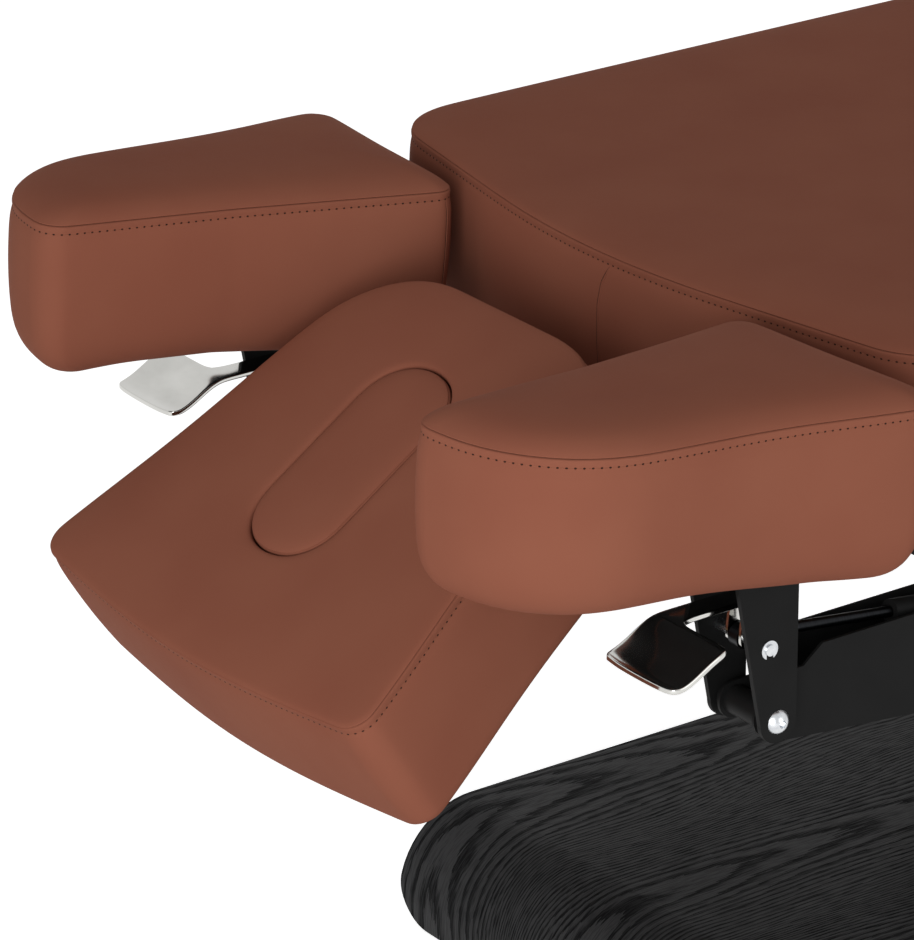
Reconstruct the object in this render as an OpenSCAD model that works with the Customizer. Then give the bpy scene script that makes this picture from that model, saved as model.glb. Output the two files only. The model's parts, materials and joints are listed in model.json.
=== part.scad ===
// Electric massage table. A padded top with two drop arms and a tilting headrest stands on
// two telescopic columns in a low bentwood plinth. Millimetres, +Z up, +X towards the foot end.
// The origin is on the floor under the middle of the table. Pieces are drawn from the head
// seam of the main cushion, and placed() moves them so that the origin is in the middle.

/* [Main cushion] */
// Length of the main cushion between its head seam and foot seam
main_len = 1500; // [1400:10:1700]
// Width of the main cushion at its seam
main_w = 790; // [780:10:860]
// Height of the main seam above the floor at the middle of the lift
seam_z = 750; // [730:1:790]
// Corner radius at the head end
main_head_r = 100; // [70:5:180]
// How far the head end's sides slope back from its middle
main_bow = 70; // [40:5:80]
// Radius of the bow in the middle of the head end
main_bow_r = 900; // [600:50:1100]
// Corner radius at the foot end
main_foot_r = 90; // [60:5:180]
// Depth from the seam to the underside of the main cushion
pad_depth = 150; // [130:1:160]
// Rise of the main cushion's crown above its seam
pad_crown = 13; // [8:1:30]
// How far a band swells out between its seam and its hem
pad_swell = 3; // [1:0.5:4]
// How far a long side is drawn in between its corners
pad_draw = 4; // [0:0.5:8]
// Radius of the hem that turns under the main cushion
hem_r = 30; // [20:1:40]
// Depth of the sewn seam's groove
seam_groove = 2.5; // [1:0.5:4]

/* [Arm cushions] */
// Length of an arm cushion at its seam
arm_len = 423; // [410:1:450]
// Width of an arm cushion at its foot end
arm_w = 248; // [240:1:258]
// Distance from the table's middle plane to the inner foot corner of an arm cushion
arm_in = 205; // [204:1:212]
// How far the foot end of an arm cushion reaches past the main cushion's head seam
arm_past = 32; // [20:1:34]
// Angle by which the arms rise towards the head at their upper stop
arm_rise = 4; // [2:0.5:6]
// Depth of the arm cushions' seam below the main seam at the head end
arm_step = 12; // [0:1:20]
// Depth from the seam to the underside of an arm cushion
arm_depth = 142; // [135:1:160]
// Rise of an arm cushion's crown above its seam
arm_crown = 20; // [12:1:28]
// Radius of the hem that turns under an arm cushion
arm_hem_r = 46; // [30:1:55]

/* [Headrest] */
// Length of the headrest at its seam
head_len = 413; // [380:1:430]
// Width of the headrest at its foot end
head_foot_w = 346; // [320:2:348]
// Width of the headrest at its head end
head_end_w = 502; // [480:2:510]
// Depth from the seam to the underside of the headrest
head_depth = 138; // [120:1:148]
// Rise of the headrest's crown above its seam
head_crown = 13; // [8:1:30]
// Corner radius at the head end of the headrest
head_end_r = 24; // [10:1:40]
// Corner radius at the foot end of the headrest
head_foot_r = 112; // [100:1:120]
// How far the head end of the headrest bows outwards
head_bow = 17; // [0:1:20]
// Radius of the hem that turns under the headrest
head_hem_r = 14; // [8:1:30]
// Angle by which the headrest is tilted down at rest
head_tilt = 32; // [20:1:34]
// Gap at the seam between the level headrest and the main cushion
head_gap = 8; // [8:1:20]
// Length of the face plug
plug_len = 224; // [200:1:240]
// Width of the face plug
plug_w = 109; // [95:1:112]
// How far the plug lies from the headrest's middle towards its foot end
plug_back = 8; // [0:1:12]
// Depth of the face plug below the seam
plug_depth = 70; // [50:1:90]
// Height of the plug's crown over the headrest's crown
plug_proud = 3; // [0:1:6]
// Gap between the plug and its hole near the top
plug_gap = 2; // [1:0.5:3]

/* [Boards and frame] */
// Thickness of the plywood boards under the cushions
board_t = 12; // [9:1:15]
// How far a board stays inside the cushion's seam
board_in = 36; // [32:1:60]
// Width of the frame's tubes
rail_w = 50; // [40:1:50]
// Height of the frame's tubes
rail_h = 50; // [40:1:50]
// Wall of the frame's tubes
rail_wall = 3; // [2:0.5:4]
// Width of a cross tube
cross_w = 40; // [30:1:50]
// Distance from the head seam to the frame's head cross tube
frame_x = 110; // [100:1:130]

/* [Arm bracket] */
// Distance from the table's middle plane to the middle of an arm's beam and clevis
beam_y = 343; // [340:1:346]
// Distance from the head seam back to the arm's pivot bolt
bolt_back = 87; // [82:1:92]
// Depth of the pivot bolt below the seam
bolt_drop = 293; // [288:1:300]
// Width over the two clevis plates
clevis_w = 74; // [74:1:80]
// Thickness of a clevis plate
clevis_t = 5; // [4:0.5:6]
// Radius of a clevis plate's foot round the bolt
clevis_r = 19; // [17:1:22]
// Width of a clevis plate at its top
clevis_top_w = 67; // [60:1:80]
// Thickness of the flange that carries an arm's board
flange_t = 4; // [3:0.5:6]
// Diameter of the pivot bolt
bolt_d = 12; // [10:0.5:14]
// Diameter of the pivot bolt's head
bolt_head_d = 22; // [20:0.5:24]
// Outer diameter of the bearing barrel on the beam
barrel_d = 26; // [22:0.5:28]

/* [Arm beam] */
// Width of the beam's channel
beam_w = 50; // [46:1:54]
// Height of the beam's channel
beam_h = 80; // [76:1:90]
// How much deeper the beam is at its foot end
beam_fall = 55; // [30:5:60]
// Gap between the top of the beam and the frame's rails
beam_drop = 27; // [22:1:32]
// Sheet thickness of the beam
beam_t = 3; // [2.5:0.5:4]
// Length of the beam
beam_len = 545; // [500:5:600]

/* [Arm strut] */
// Distance of the strut's pin above the pivot bolt
pin_up = 70; // [66:1:76]
// Distance of the strut's pin towards the head from the pivot bolt
pin_back = 11; // [8:1:16]
// Diameter of the strut's pins
pin_d = 10; // [8:0.5:11]
// Distance between the strut's two pins along the table
strut_run = 366; // [350:1:380]
// Fall of the strut from its front pin to its rear pin
strut_fall = 47; // [40:1:54]
// Outer diameter of a strut's cylinder
cyl_d = 22; // [20:0.5:24]
// Wall of a strut's cylinder
cyl_wall = 2; // [1.5:0.5:2.5]
// Diameter of a strut's rod
rod_d = 10; // [8:0.5:11]
// Width of a strut's eye
eye_w = 12; // [10:0.5:14]
// Outer diameter of a strut's eye
eye_d = 21; // [20:0.5:24]
// Clearance round the open pivot at a strut's front eye
open_play = 1.3; // [1.2:0.1:1.6]

/* [Release lever] */
// Length of the lever's paddle across the table
paddle_w = 98; // [80:1:110]
// Depth of the paddle along the table
paddle_d = 62; // [50:1:70]
// Drop of the paddle from its neck to its lowest line
paddle_fall = 24; // [15:1:32]
// Width of the lever's neck
neck_w = 26; // [22:1:28]
// Length of the neck from the pin to the paddle
neck_len = 77; // [70:1:90]
// Height of the neck above the pin
neck_up = 35; // [30:1:40]
// Thickness of the lever's steel
lever_t = 5; // [4:0.5:6]

/* [Headrest hinge] */
// Distance from the head seam to the headrest's shaft
shaft_x = 20; // [18:1:26]
// Depth of the headrest's shaft below the main seam
shaft_drop = 167; // [166:1:172]
// Diameter of the headrest's shaft
shaft_d = 16; // [14:0.5:18]
// Outer diameter of the carrier's sleeve and hubs
sleeve_d = 28; // [26:0.5:28]
// Distance between the carrier's two side bars
carrier_w = 216; // [200:1:230]
// Thickness of the carrier's side bars
carrier_t = 8; // [6:0.5:10]
// Height of the carrier's side bars
carrier_h = 34; // [28:1:38]
// Crank radius from the shaft to the headrest strut's pin
crank_r = 57; // [54:1:60]
// Angle of the crank ahead of straight down when the headrest is tilted down
crank_lead = 22; // [18:1:24]
// Distance along the table between the headrest strut's pins
head_strut_run = 370; // [355:1:375]

/* [Lift columns] */
// Distance from the head seam to the first column
column_x = 520; // [500:5:540]
// Distance between the two columns
column_pitch = 500; // [450:5:560]
// Length of a column's outer tube along the table
column_l = 150; // [140:1:170]
// Width of a column's outer tube
column_w = 110; // [100:1:130]
// Wall of a column's tubes
column_wall = 4; // [3:0.5:5]
// Gap that the glides fill between two stages
column_gap = 3; // [2.5:0.5:4]
// Running play of the glides
glide_play = 0.1; // [0.1:0.05:0.3]
// Height of a column's outer tube
column_h = 320; // [300:1:325]
// Travel of the lift up and down from the middle
lift_half = 140; // [100:1:140]

/* [Plinth] */
// Length of the plinth
base_len = 1445; // [1400:5:1460]
// Width of the plinth
base_w = 500; // [480:5:560]
// Height of the plinth
base_h = 110; // [105:1:120]
// How far the plinth reaches past the head seam
base_past = 45; // [35:1:60]
// Thickness of the bentwood cover and of its side panels
cover_t = 10; // [8:1:12]
// Outer radius of the bend at each end of the cover
bend_r = 85; // [70:1:90]
// Radius of the cover's lower corners
cover_corner_r = 45; // [20:1:60]
// Gap between the cover's lower edge and the floor
floor_gap = 3; // [2:1:6]
// Height of the rubber feet
foot_h = 8; // [6:1:10]
// Diameter of the rubber feet
foot_d = 44; // [40:1:50]
// Height of the plinth frame's tubes
base_tube_h = 30; // [25:1:30]
// Thickness of the plates under the columns
base_plate_t = 8; // [6:1:8]

/* [Controls] */
// Length of the foot pedal
pedal_len = 260; // [220:5:300]
// Depth of the foot pedal's tread
pedal_w = 46; // [40:1:60]
// Travel angle of the foot pedal each way
pedal_swing = 7; // [4:1:8]
// Width of the mains inlet
inlet_w = 48; // [46:1:52]
// Height of the mains inlet
inlet_h = 27; // [25:1:30]

/* [Hidden] */

$fn = 48;

// Colours
leatherette = "#8C5541";
black_steel = "#222222";
black_ash = "#2B2B2B";
bright_steel = "#C9CACB";
zinc = "#B9BCC0";
plywood = "#B98F5F";
black_plastic = "#1C1C1D";
rubber = "#141414";
alloy = "#9A9DA0";

// One overrun for every cut, and one running clearance for every pin in a moving bore
cut = 1;
fit = 0.05;
// Gap between a soft or curved face and its neighbour
seat_gap = 0.3;

// Share tables of the cushions' profiles: [how far in, how high], from the seam to the top
hem_shares = [[1, 0], [0.62, 0.08], [0.29, 0.29], [0.08, 0.62], [0, 1]];
main_crown_shares = [[0.03, 0.44], [0.07, 0.7], [0.14, 0.86], [0.3, 0.96], [0.72, 1]];
arm_crown_shares = [[0.09, 0.42], [0.2, 0.68], [0.36, 0.86], [0.56, 0.96], [0.8, 1]];
head_crown_shares = [[0.06, 0.26], [0.15, 0.48], [0.3, 0.72], [0.5, 0.88], [0.72, 0.97], [0.9, 1], [1, 0.95]];
plug_crown_shares = [[0.1, 0.5], [0.28, 0.78], [0.52, 0.93], [0.8, 1]];
// Outline of an arm cushion: [along from the head tip, across from the inner corner,
// corner radius over the width, drawing-in of the edge that follows over the side's own]
arm_outline_shares = [
    [0.943, 0, 0.08, 0.5], [1, 1, 0.09, 1.5], [0, 0.872, 0.5, 0],
    [0, 0.3, 0.1, 0], [0.42, 0.19, 0.86, 0]
];
swell_shares = [0.35, 0.72];

// Derived places of the top
board_z = seam_z - pad_depth - board_t;
rail_z = board_z - rail_h;
beam_z = rail_z - beam_drop - beam_h;
rail_y = beam_y - rail_w / 2;
frame_end = main_len - frame_x / 2;
bolt = [-bolt_back, seam_z - bolt_drop];
pin = bolt + [-pin_back, pin_up];
rear_pin = pin + [strut_run, -strut_fall];
strut_len = norm([strut_run, strut_fall]);
strut_slope = atan(strut_fall / strut_run);
clevis_in = clevis_w / 2 - clevis_t;
shaft = [shaft_x, seam_z - shaft_drop];
crank_back = head_tilt - crank_lead;
crank_level = shaft + crank_r * [-sin(crank_back), -cos(crank_back)];
crank_rest = shaft + crank_r * [sin(crank_lead), -cos(crank_lead)];
crank_sag = crank_r * (1 - cos(head_tilt / 2));
head_rear_pin = [crank_rest.x + head_strut_run, crank_rest.y - crank_sag / 2];
head_board_z = seam_z - head_depth - board_t;
carrier_y = carrier_w / 2;
carrier_plate_t = flange_t;
ear_y = carrier_y + carrier_t;

// Derived places of the columns and the plinth
base_z = foot_h;
base_plate_z = base_z + base_tube_h;
column_z = base_plate_z + base_plate_t;
columns_x = [column_x, column_x + column_pitch];
step_in = column_wall + column_gap;
head_plate_t = base_plate_t;
inner_top = rail_z - head_plate_t;
column_top = column_z + column_h;
middle_top = column_top + lift_half / 2 + column_gap;
middle_h = column_h - column_gap * 4;
inner_h = inner_top - column_z - lift_half - column_gap * 8;
glide_h = column_l / 4;
base_start = -base_past;
base_stop = base_len - base_past;
base_tube_w = rail_w;
base_tube_y = column_w - base_tube_w / 2;
cross_foot_x = [base_start + bend_r, base_stop - bend_r - base_tube_w];
side_y = base_w / 2 - cover_t * 1.4;
mid_x = column_x + column_pitch / 2;

// The table's middle, between the headrest's tip at rest and the foot end
head_tip = shaft.x - (shaft.x + head_gap + head_len + head_bow) * cos(head_tilt)
    - (shaft_drop + seam_groove) * sin(head_tilt);
foot_tip = main_len + pad_swell;
centre_x = (head_tip + foot_tip) / 2;

// Outline and loft functions

function unit(v) = v / norm(v);
function lerp(a, b, t) = a + (b - a) * t;

// Points of one rounded corner of a list of [x, y, radius, bow]
function corner_points(c, i, n) =
    let(k = len(c), p = [c[i].x, c[i].y], a = c[(i + k - 1) % k], b = c[(i + 1) % k],
        u = unit([a.x, a.y] - p), v = unit([b.x, b.y] - p), half = acos(u * v) / 2,
        turn = u.x * v.y - u.y * v.x, middle = p + unit(u + v) * c[i][2] / sin(half),
        start = p + u * c[i][2] / tan(half) - middle, first = atan2(start.y, start.x),
        sweep = (turn < 0 ? 1 : -1) * (180 - 2 * half))
    [for (j = [0:n]) middle + c[i][2] * [cos(first + sweep * j / n), sin(first + sweep * j / n)]];

// Points between two corners, drawn in by the bow at the middle of the edge
function edge_points(a, b, bow, n) =
    let(side = unit(b - a), inward = [-side.y, side.x])
    [for (j = [1:n - 1]) lerp(a, b, j / n) + inward * bow * pow(sin(180 * j / n), 2)];

// Closed outline through rounded corners, anticlockwise
function outline(c, arc_n, edge_n) =
    let(k = len(c), arcs = [for (i = [0:k - 1]) corner_points(c, i, arc_n)])
    [for (i = [0:k - 1]) each concat(arcs[i],
        edge_points(arcs[i][arc_n], arcs[(i + 1) % k][0], c[i][3], edge_n))];

// Outward unit normals of a closed anticlockwise outline
function normals(p) =
    let(k = len(p))
    [for (i = [0:k - 1]) let(d = unit(p[(i + 1) % k] - p[(i + k - 1) % k])) [d.y, -d.x]];

// Outline moved outwards by a distance
function grown(p, by) = let(m = normals(p)) [for (i = [0:len(p) - 1]) p[i] + m[i] * by];

// Nearest point of a segment
function on_spine(p, a, b) =
    let(d = b - a, t = max(0, min(1, (p - a) * d / (d * d)))) a + d * t;

// Outline drawn in by a distance towards a spine
function drawn(p, spine, by) =
    [for (q = p) let(c = on_spine(q, spine[0], spine[1])) q + unit(c - q) * by];

function ring(p, z) = [for (q = p) [q.x, q.y, z]];

// Faces of a stack of rings, and the caps that close it
function wall_faces(rings, n, closed = false) = [
    for (k = [0:rings - (closed ? 1 : 2)]) for (i = [0:n - 1])
        let(j = (i + 1) % n, a = k * n, b = (k + 1) % rings * n)
        each [[a + i, b + i, b + j], [a + i, b + j, a + j]]];
function cap_faces(rings, n) = [
    for (i = [0:n - 1]) let(j = (i + 1) % n, top = (rings - 1) * n)
        each [[rings * n, i, j], [rings * n + 1, top + j, top + i]]];

// Rings of a cushion's hem and band, from the underside up to the seam
function band_rings(p, depth, r, spine) = concat(
    [for (s = hem_shares) ring(drawn(p, spine, r * s.x), -depth + r * s.y)],
    [for (s = swell_shares) ring(grown(p, pad_swell), lerp(-depth + r, 0, s))],
    [ring(p, -seam_groove * 1.6), ring(grown(p, -seam_groove), 0)]);

// A cushion with a hem, a swelling band, a sewn seam and a crown over a spine. Its underside
// has a recess where a board of the given outline lies in it.
module cushion(p, depth, r, crown, shares, spine, board = []) {
    middles = [for (q = p) on_spine(q, spine[0], spine[1])];
    top = [for (s = shares) ring([for (i = [0:len(p) - 1]) lerp(p[i], middles[i], s.x)], crown * s.y)];
    recessed = len(board) > 0;
    under = recessed ? -depth + board_t + seat_gap : -depth;
    recess = recessed ? [ring(board, under), ring(board, -depth)] : [];
    rings = concat(recess, band_rings(p, depth, r, spine), [ring(p, seam_groove * 1.6)], top);
    n = len(p);
    middle = (spine[0] + spine[1]) / 2;
    points = concat([for (q = rings) each q], [[middle.x, middle.y, under], [middle.x, middle.y, crown]]);
    polyhedron(points, concat(wall_faces(len(rings), n), cap_faces(len(rings), n)));
}

// Placing

// From the head seam to the table's middle
module placed() { translate([-centre_x, 0, 0]) children(); }

// The left side is the far side, +Y, and the right side is its mirror image
module on_side(side) { mirror([0, side == "left" ? 0 : 1, 0]) children(); }

// The arm's own frame: the seam plane tilted below the head seam
arm_z = seam_z - arm_step;
module arm_frame() { translate([0, 0, arm_z]) rotate([0, arm_rise, 0]) children(); }

// The headrest as it stands, turned down about its shaft from level
module head_frame() {
    translate([shaft.x, 0, shaft.y]) rotate([0, -head_tilt, 0]) translate([-shaft.x, 0, -shaft.y]) children();
}

// A plate in the XZ plane that fills y to y + t
module slab(y, t) { translate([0, y + t, 0]) rotate([90, 0, 0]) linear_extrude(t) children(); }

// A round bar along Y that fills y to y + h at a point of the XZ plane
module bar(at, d, y, h) { translate([at.x, y + h, at.y]) rotate([90, 0, 0]) cylinder(d = d, h = h); }

// A box from its lowest to its highest corner
module block(low, high) { translate(low) cube(high - low); }

// A square tube along X or Y, open at its ends
module tube_x(x0, x1, y, z, w, h, wall) {
    difference() {
        block([x0, y - w / 2, z], [x1, y + w / 2, z + h]);
        block([x0 - cut, y - w / 2 + wall, z + wall], [x1 + cut, y + w / 2 - wall, z + h - wall]);
    }
}

// Main cushion and its board

// The bow's apex lies at the head seam, so its shoulders start behind it
main_slope = atan(main_bow / (main_w / 2));
main_shoulder = main_bow - main_bow_r * (1 / cos(main_slope) - 1);
main_corners = [
    [main_shoulder, -main_w / 2, main_head_r, pad_draw], [main_len, -main_w / 2, main_foot_r, 0],
    [main_len, main_w / 2, main_foot_r, pad_draw], [main_shoulder, main_w / 2, main_head_r, 0],
    [main_shoulder - main_bow, 0, main_bow_r, 0]
];
main_outline = outline(main_corners, 8, 6);
main_spine = [[main_w / 2, 0], [main_len - main_w / 2, 0]];

module main_cushion() {
    color(leatherette) placed() translate([0, 0, seam_z])
        cushion(main_outline, pad_depth, hem_r, pad_crown, main_crown_shares, main_spine);
}

module main_board() {
    head_cut = shaft.x + sleeve_d / 2 + rail_wall * 2;
    color(plywood) placed() intersection() {
        translate([0, 0, board_z]) linear_extrude(board_t) polygon(drawn(main_outline, main_spine, board_in));
        block([head_cut, -main_w, board_z - cut], [main_len, main_w, seam_z]);
    }
}

// Top frame: two rails, cross tubes, spacers over the beams, and the headrest's ears

module cross_tube(x) {
    difference() {
        block([x, -rail_y - cut, rail_z], [x + cross_w, rail_y + cut, board_z]);
        block([x + rail_wall, -rail_y - cut * 2, rail_z + rail_wall],
            [x + cross_w - rail_wall, rail_y + cut * 2, board_z - rail_wall]);
    }
}

module head_ear(y) {
    slab(y, carrier_t) difference() {
        union() {
            translate(shaft) circle(d = sleeve_d);
            translate([shaft.x, shaft.y - sleeve_d / 2])
                square([frame_x + cut - shaft.x, board_z - shaft.y + sleeve_d / 2]);
        }
        translate(shaft) circle(d = shaft_d + fit * 2);
    }
}

cross_xs = concat([frame_x], [for (x = columns_x) each [x - cross_w * 2, x + cross_w]], [frame_end - cross_w]);
strut_lug_y = eye_w / 2 + fit * 10;

module strut_lug(side) {
    y = side > 0 ? strut_lug_y : -strut_lug_y - clevis_t;
    x = columns_x[0] - cross_w * 2;
    slab(y, clevis_t) difference() {
        union() {
            translate(head_rear_pin) circle(d = eye_d);
            translate([head_rear_pin.x, head_rear_pin.y - eye_d / 2])
                square([x - seat_gap - head_rear_pin.x, rail_z + rail_h / 2 - head_rear_pin.y + eye_d / 2]);
            translate([head_rear_pin.x, rail_z]) square([x + rail_wall - head_rear_pin.x, rail_h / 2]);
        }
        translate(head_rear_pin) circle(d = pin_d + fit * 2);
    }
}

module top_frame() {
    color(black_steel) placed() {
        union() {
            for (s = [-1, 1]) tube_x(frame_x, frame_end, s * beam_y, rail_z, rail_w, rail_h, rail_wall);
            for (x = cross_xs) cross_tube(x);
            for (s = [-1, 1], x = [frame_x + cross_w, column_x - cross_w * 3])
                block([x, s * beam_y - beam_w / 2, rail_z - beam_drop], [x + cross_w, s * beam_y + beam_w / 2, rail_z]);
            head_ear(ear_y + fit * 10);
            head_ear(-ear_y - carrier_t - fit * 10);
            for (s = [-1, 1]) strut_lug(s);
        }
    }
}

// Arm cushions, boards and brackets

arm_outline = outline([for (s = arm_outline_shares)
    [arm_past - arm_len * (1 - s[0]), arm_in + arm_w * s[1], arm_w * s[2], pad_draw * s[3]]], 5, 5);
arm_spine = [[arm_past - arm_len * 0.74, arm_in + arm_w * 0.56], [arm_past - arm_len * 0.26, arm_in + arm_w * 0.58]];
// The board lies inside the hem, in its own recess
arm_board_in = arm_hem_r + board_in / 3;

module arm_cushion(side) {
    color(leatherette) placed() on_side(side) arm_frame()
        cushion(arm_outline, arm_depth, arm_hem_r, arm_crown, arm_crown_shares, arm_spine,
            drawn(arm_outline, arm_spine, arm_board_in - seat_gap));
}
module arm_cushion_left() { arm_cushion("left"); }
module arm_cushion_right() { arm_cushion("right"); }

module arm_board(side) {
    color(plywood) placed() on_side(side) arm_frame() translate([0, 0, -arm_depth]) linear_extrude(board_t)
        polygon(drawn(arm_outline, arm_spine, arm_board_in));
}
module arm_board_left() { arm_board("left"); }
module arm_board_right() { arm_board("right"); }

// Height of the arm board's underside above a place along the table
function arm_under(x) = arm_z - x * tan(arm_rise) - arm_depth / cos(arm_rise);

// Side view of a clevis plate, from its round foot to the flange under the arm's board
module clevis_profile() {
    foot_x = bolt.x + clevis_r;
    back_x = foot_x + clevis_t / 4;
    top_x = back_x - clevis_top_w;
    difference() {
        union() {
            translate(bolt) circle(r = clevis_r);
            polygon([[foot_x, bolt.y], [back_x, arm_under(back_x) - flange_t / 2],
                [top_x, arm_under(top_x) - flange_t / 2], [bolt.x - clevis_r, bolt.y]]);
        }
        translate(bolt) circle(d = bolt_d + fit * 2);
        translate(pin) circle(d = pin_d + fit * 2);
    }
}

module arm_bracket(side) {
    flange_l = clevis_top_w + clevis_r * 2;
    flange_w = clevis_w + clevis_r * 2;
    foot_x = bolt.x + clevis_r * 2 + arm_depth * sin(arm_rise);
    color(black_steel) placed() on_side(side) union() {
        slab(beam_y + clevis_in, clevis_t) clevis_profile();
        slab(beam_y - clevis_w / 2, clevis_t) clevis_profile();
        arm_frame() block([foot_x - flange_l, beam_y - flange_w / 2, -arm_depth - flange_t],
            [foot_x, beam_y + flange_w / 2, -arm_depth]);
    }
}
module arm_bracket_left() { arm_bracket("left"); }
module arm_bracket_right() { arm_bracket("right"); }

// Button-head bolt through the clevis and the beam's barrel, with its nut
module pivot_bolt(side) {
    head_h = bolt_head_d * 0.3;
    socket_d = bolt_d * 0.62;
    nut_h = bolt_d * 0.8;
    outer = beam_y + clevis_w / 2;
    inner = beam_y - clevis_w / 2;
    dome_r = (bolt_head_d * bolt_head_d / 4 + head_h * head_h) / (2 * head_h);
    color(zinc) placed() on_side(side) difference() {
        union() {
            bar(bolt, bolt_d, inner - nut_h - bolt_d / 8, clevis_w + nut_h + bolt_d / 8 + cut / 10);
            intersection() {
                bar(bolt, bolt_head_d, outer, head_h);
                translate([bolt.x, outer + head_h - dome_r, bolt.y]) sphere(r = dome_r, $fn = 64);
            }
            translate([bolt.x, inner, bolt.y]) rotate([90, 0, 0])
                cylinder(d = bolt_d * 1.8, h = nut_h, $fn = 6);
        }
        translate([bolt.x, outer + head_h + cut, bolt.y]) rotate([90, 0, 0])
            cylinder(d = socket_d, h = head_h * 0.6 + cut, $fn = 6);
    }
}
module pivot_bolt_left() { pivot_bolt("left"); }
module pivot_bolt_right() { pivot_bolt("right"); }

// Pin of the strut and the lever, with a groove at each end for its clip
clip_t = 1.2;
clip_neck = pin_d * 0.72;
pin_over = clip_t * 2.2;

module strut_pin(side) {
    color(zinc) placed() on_side(side) difference() {
        bar(pin, pin_d, beam_y - clevis_w / 2 - pin_over, clevis_w + pin_over * 2);
        for (y = [beam_y - clevis_w / 2 - clip_t, beam_y + clevis_w / 2]) difference() {
            bar(pin, pin_d + cut, y, clip_t);
            bar(pin, clip_neck, y - cut, clip_t + cut * 2);
        }
    }
}
module strut_pin_left() { strut_pin("left"); }
module strut_pin_right() { strut_pin("right"); }

module pin_clips(side) {
    color(zinc) placed() on_side(side)
        for (y = [beam_y - clevis_w / 2 - clip_t, beam_y + clevis_w / 2])
            slab(y + clip_t * 0.05, clip_t * 0.9) translate(pin) difference() {
                circle(d = pin_d * 1.7);
                circle(d = clip_neck + fit * 2);
                translate([0, -pin_d]) square([clip_neck, pin_d * 2], center = true);
            }
}
module pin_clips_left() { pin_clips("left"); }
module pin_clips_right() { pin_clips("right"); }

// Release lever: two ears on the pin, a level neck and a scooped paddle

ear_t = lever_t * 0.6;
lever_z = pin.y + neck_up;
paddle_x = pin.x - neck_len;
// Middle line of the neck and paddle: [share of the paddle's depth, share of its fall]
paddle_shares = [[0, 0], [0.1, 0.03], [0.24, 0.2], [0.44, 0.52], [0.64, 0.8], [0.84, 0.97], [1, 0.93]];
lever_line = concat([[pin.x + pin_d, lever_z], [pin.x - neck_len * 0.5, lever_z + lever_t * 0.3]],
    [for (s = paddle_shares) [paddle_x - paddle_d * s.x, lever_z + lever_t * 0.4 - paddle_fall * s.y]]);

// Sheet of even thickness along a line in the XZ plane
function sheet_line(p, t) =
    let(k = len(p), m = [for (i = [0:k - 1]) let(d = unit(p[min(i + 1, k - 1)] - p[max(i - 1, 0)])) [-d.y, d.x]])
    concat([for (i = [0:k - 1]) p[i] + m[i] * t / 2], [for (i = [k - 1:-1:0]) p[i] - m[i] * t / 2]);

module lever_plan() {
    r = paddle_d / 5;
    neck_fillet = neck_w / 3;
    // The paddle reaches outwards from the neck's inner edge
    in_y = beam_y - neck_w / 2;
    polygon(outline([
        [pin.x + pin_d * 2, in_y, r / 4, 0], [pin.x + pin_d * 2, in_y + neck_w, r / 4, 0],
        [paddle_x, in_y + neck_w, neck_fillet, 0], [paddle_x, in_y + paddle_w, r, 0],
        [paddle_x - paddle_d, in_y + paddle_w, r, 0], [paddle_x - paddle_d, in_y, r, 0]], 5, 2));
}

module lever_ear(y) {
    slab(y, ear_t) difference() {
        union() {
            translate(pin) circle(d = pin_d * 1.9);
            polygon([[pin.x - pin_d * 0.9, pin.y], [pin.x + pin_d * 0.9, pin.y],
                [pin.x + pin_d * 0.9, lever_z], [pin.x - neck_len * 0.35, lever_z]]);
        }
        translate(pin) circle(d = pin_d + fit * 2);
    }
}

module release_lever(side) {
    ear_in = eye_w / 2 + ear_t / 2;
    color(bright_steel) placed() on_side(side) union() {
        intersection() {
            slab(beam_y - paddle_w, paddle_w * 2) polygon(sheet_line(lever_line, lever_t));
            translate([0, 0, lever_z - paddle_fall * 2]) linear_extrude(paddle_fall * 4) lever_plan();
        }
        lever_ear(beam_y + ear_in);
        lever_ear(beam_y - ear_in - ear_t);
    }
}
module release_lever_left() { release_lever("left"); }
module release_lever_right() { release_lever("right"); }

// Arm beam: an open-topped channel that deepens towards the foot, with a bearing barrel at its
// head end

// Side view of the beam, moved up at its floor by the sheet
module beam_profile(x0, up, over) {
    x1 = x0 + beam_len;
    top = beam_z + beam_h + over;
    slope = beam_fall / beam_len;
    polygon([[x0 - over, beam_z + up + over * slope], [x1 + over, beam_z - beam_fall + up - over * slope],
        [x1 + over, top], [x0 - over, top]]);
}

module arm_beam(side) {
    x0 = bolt.x + clevis_r - cut;
    top = beam_z + beam_h;
    barrel_w = clevis_in * 2 - fit * 20;
    lug_r = clevis_r * 0.9;
    color(black_steel) placed() on_side(side) difference() {
        union() {
            difference() {
                slab(beam_y - beam_w / 2, beam_w) beam_profile(x0, 0, 0);
                slab(beam_y - beam_w / 2 + beam_t, beam_w - beam_t * 2) beam_profile(x0, beam_t, cut);
                slab(beam_y - beam_w, beam_w * 2) polygon([
                    [x0 - cut, top + cut], [x0 + beam_w * 0.8, top + cut],
                    [x0 + beam_w * 0.36, top - beam_h / 5], [x0 - cut, top - beam_h / 5]]);
            }
            for (y = [beam_y - beam_w / 2, beam_y + beam_w / 2 - beam_t]) slab(y, beam_t) {
                translate(bolt) circle(r = lug_r);
                translate([bolt.x, bolt.y - lug_r]) square([x0 + cut - bolt.x, lug_r * 2]);
            }
            bar(bolt, barrel_d, beam_y - barrel_w / 2, barrel_w);
        }
        bar(bolt, bolt_d + fit * 2, beam_y - clevis_w, clevis_w * 2);
        bar(rear_pin, pin_d + fit * 2, beam_y - beam_w, beam_w * 2);
    }
}
module arm_beam_left() { arm_beam("left"); }
module arm_beam_right() { arm_beam("right"); }

// Gas struts: a cylinder with an eye on its rear pin, and a rod with a front eye.
// Each is drawn along -X from its rear pin, with its front pin at the given length.

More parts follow.
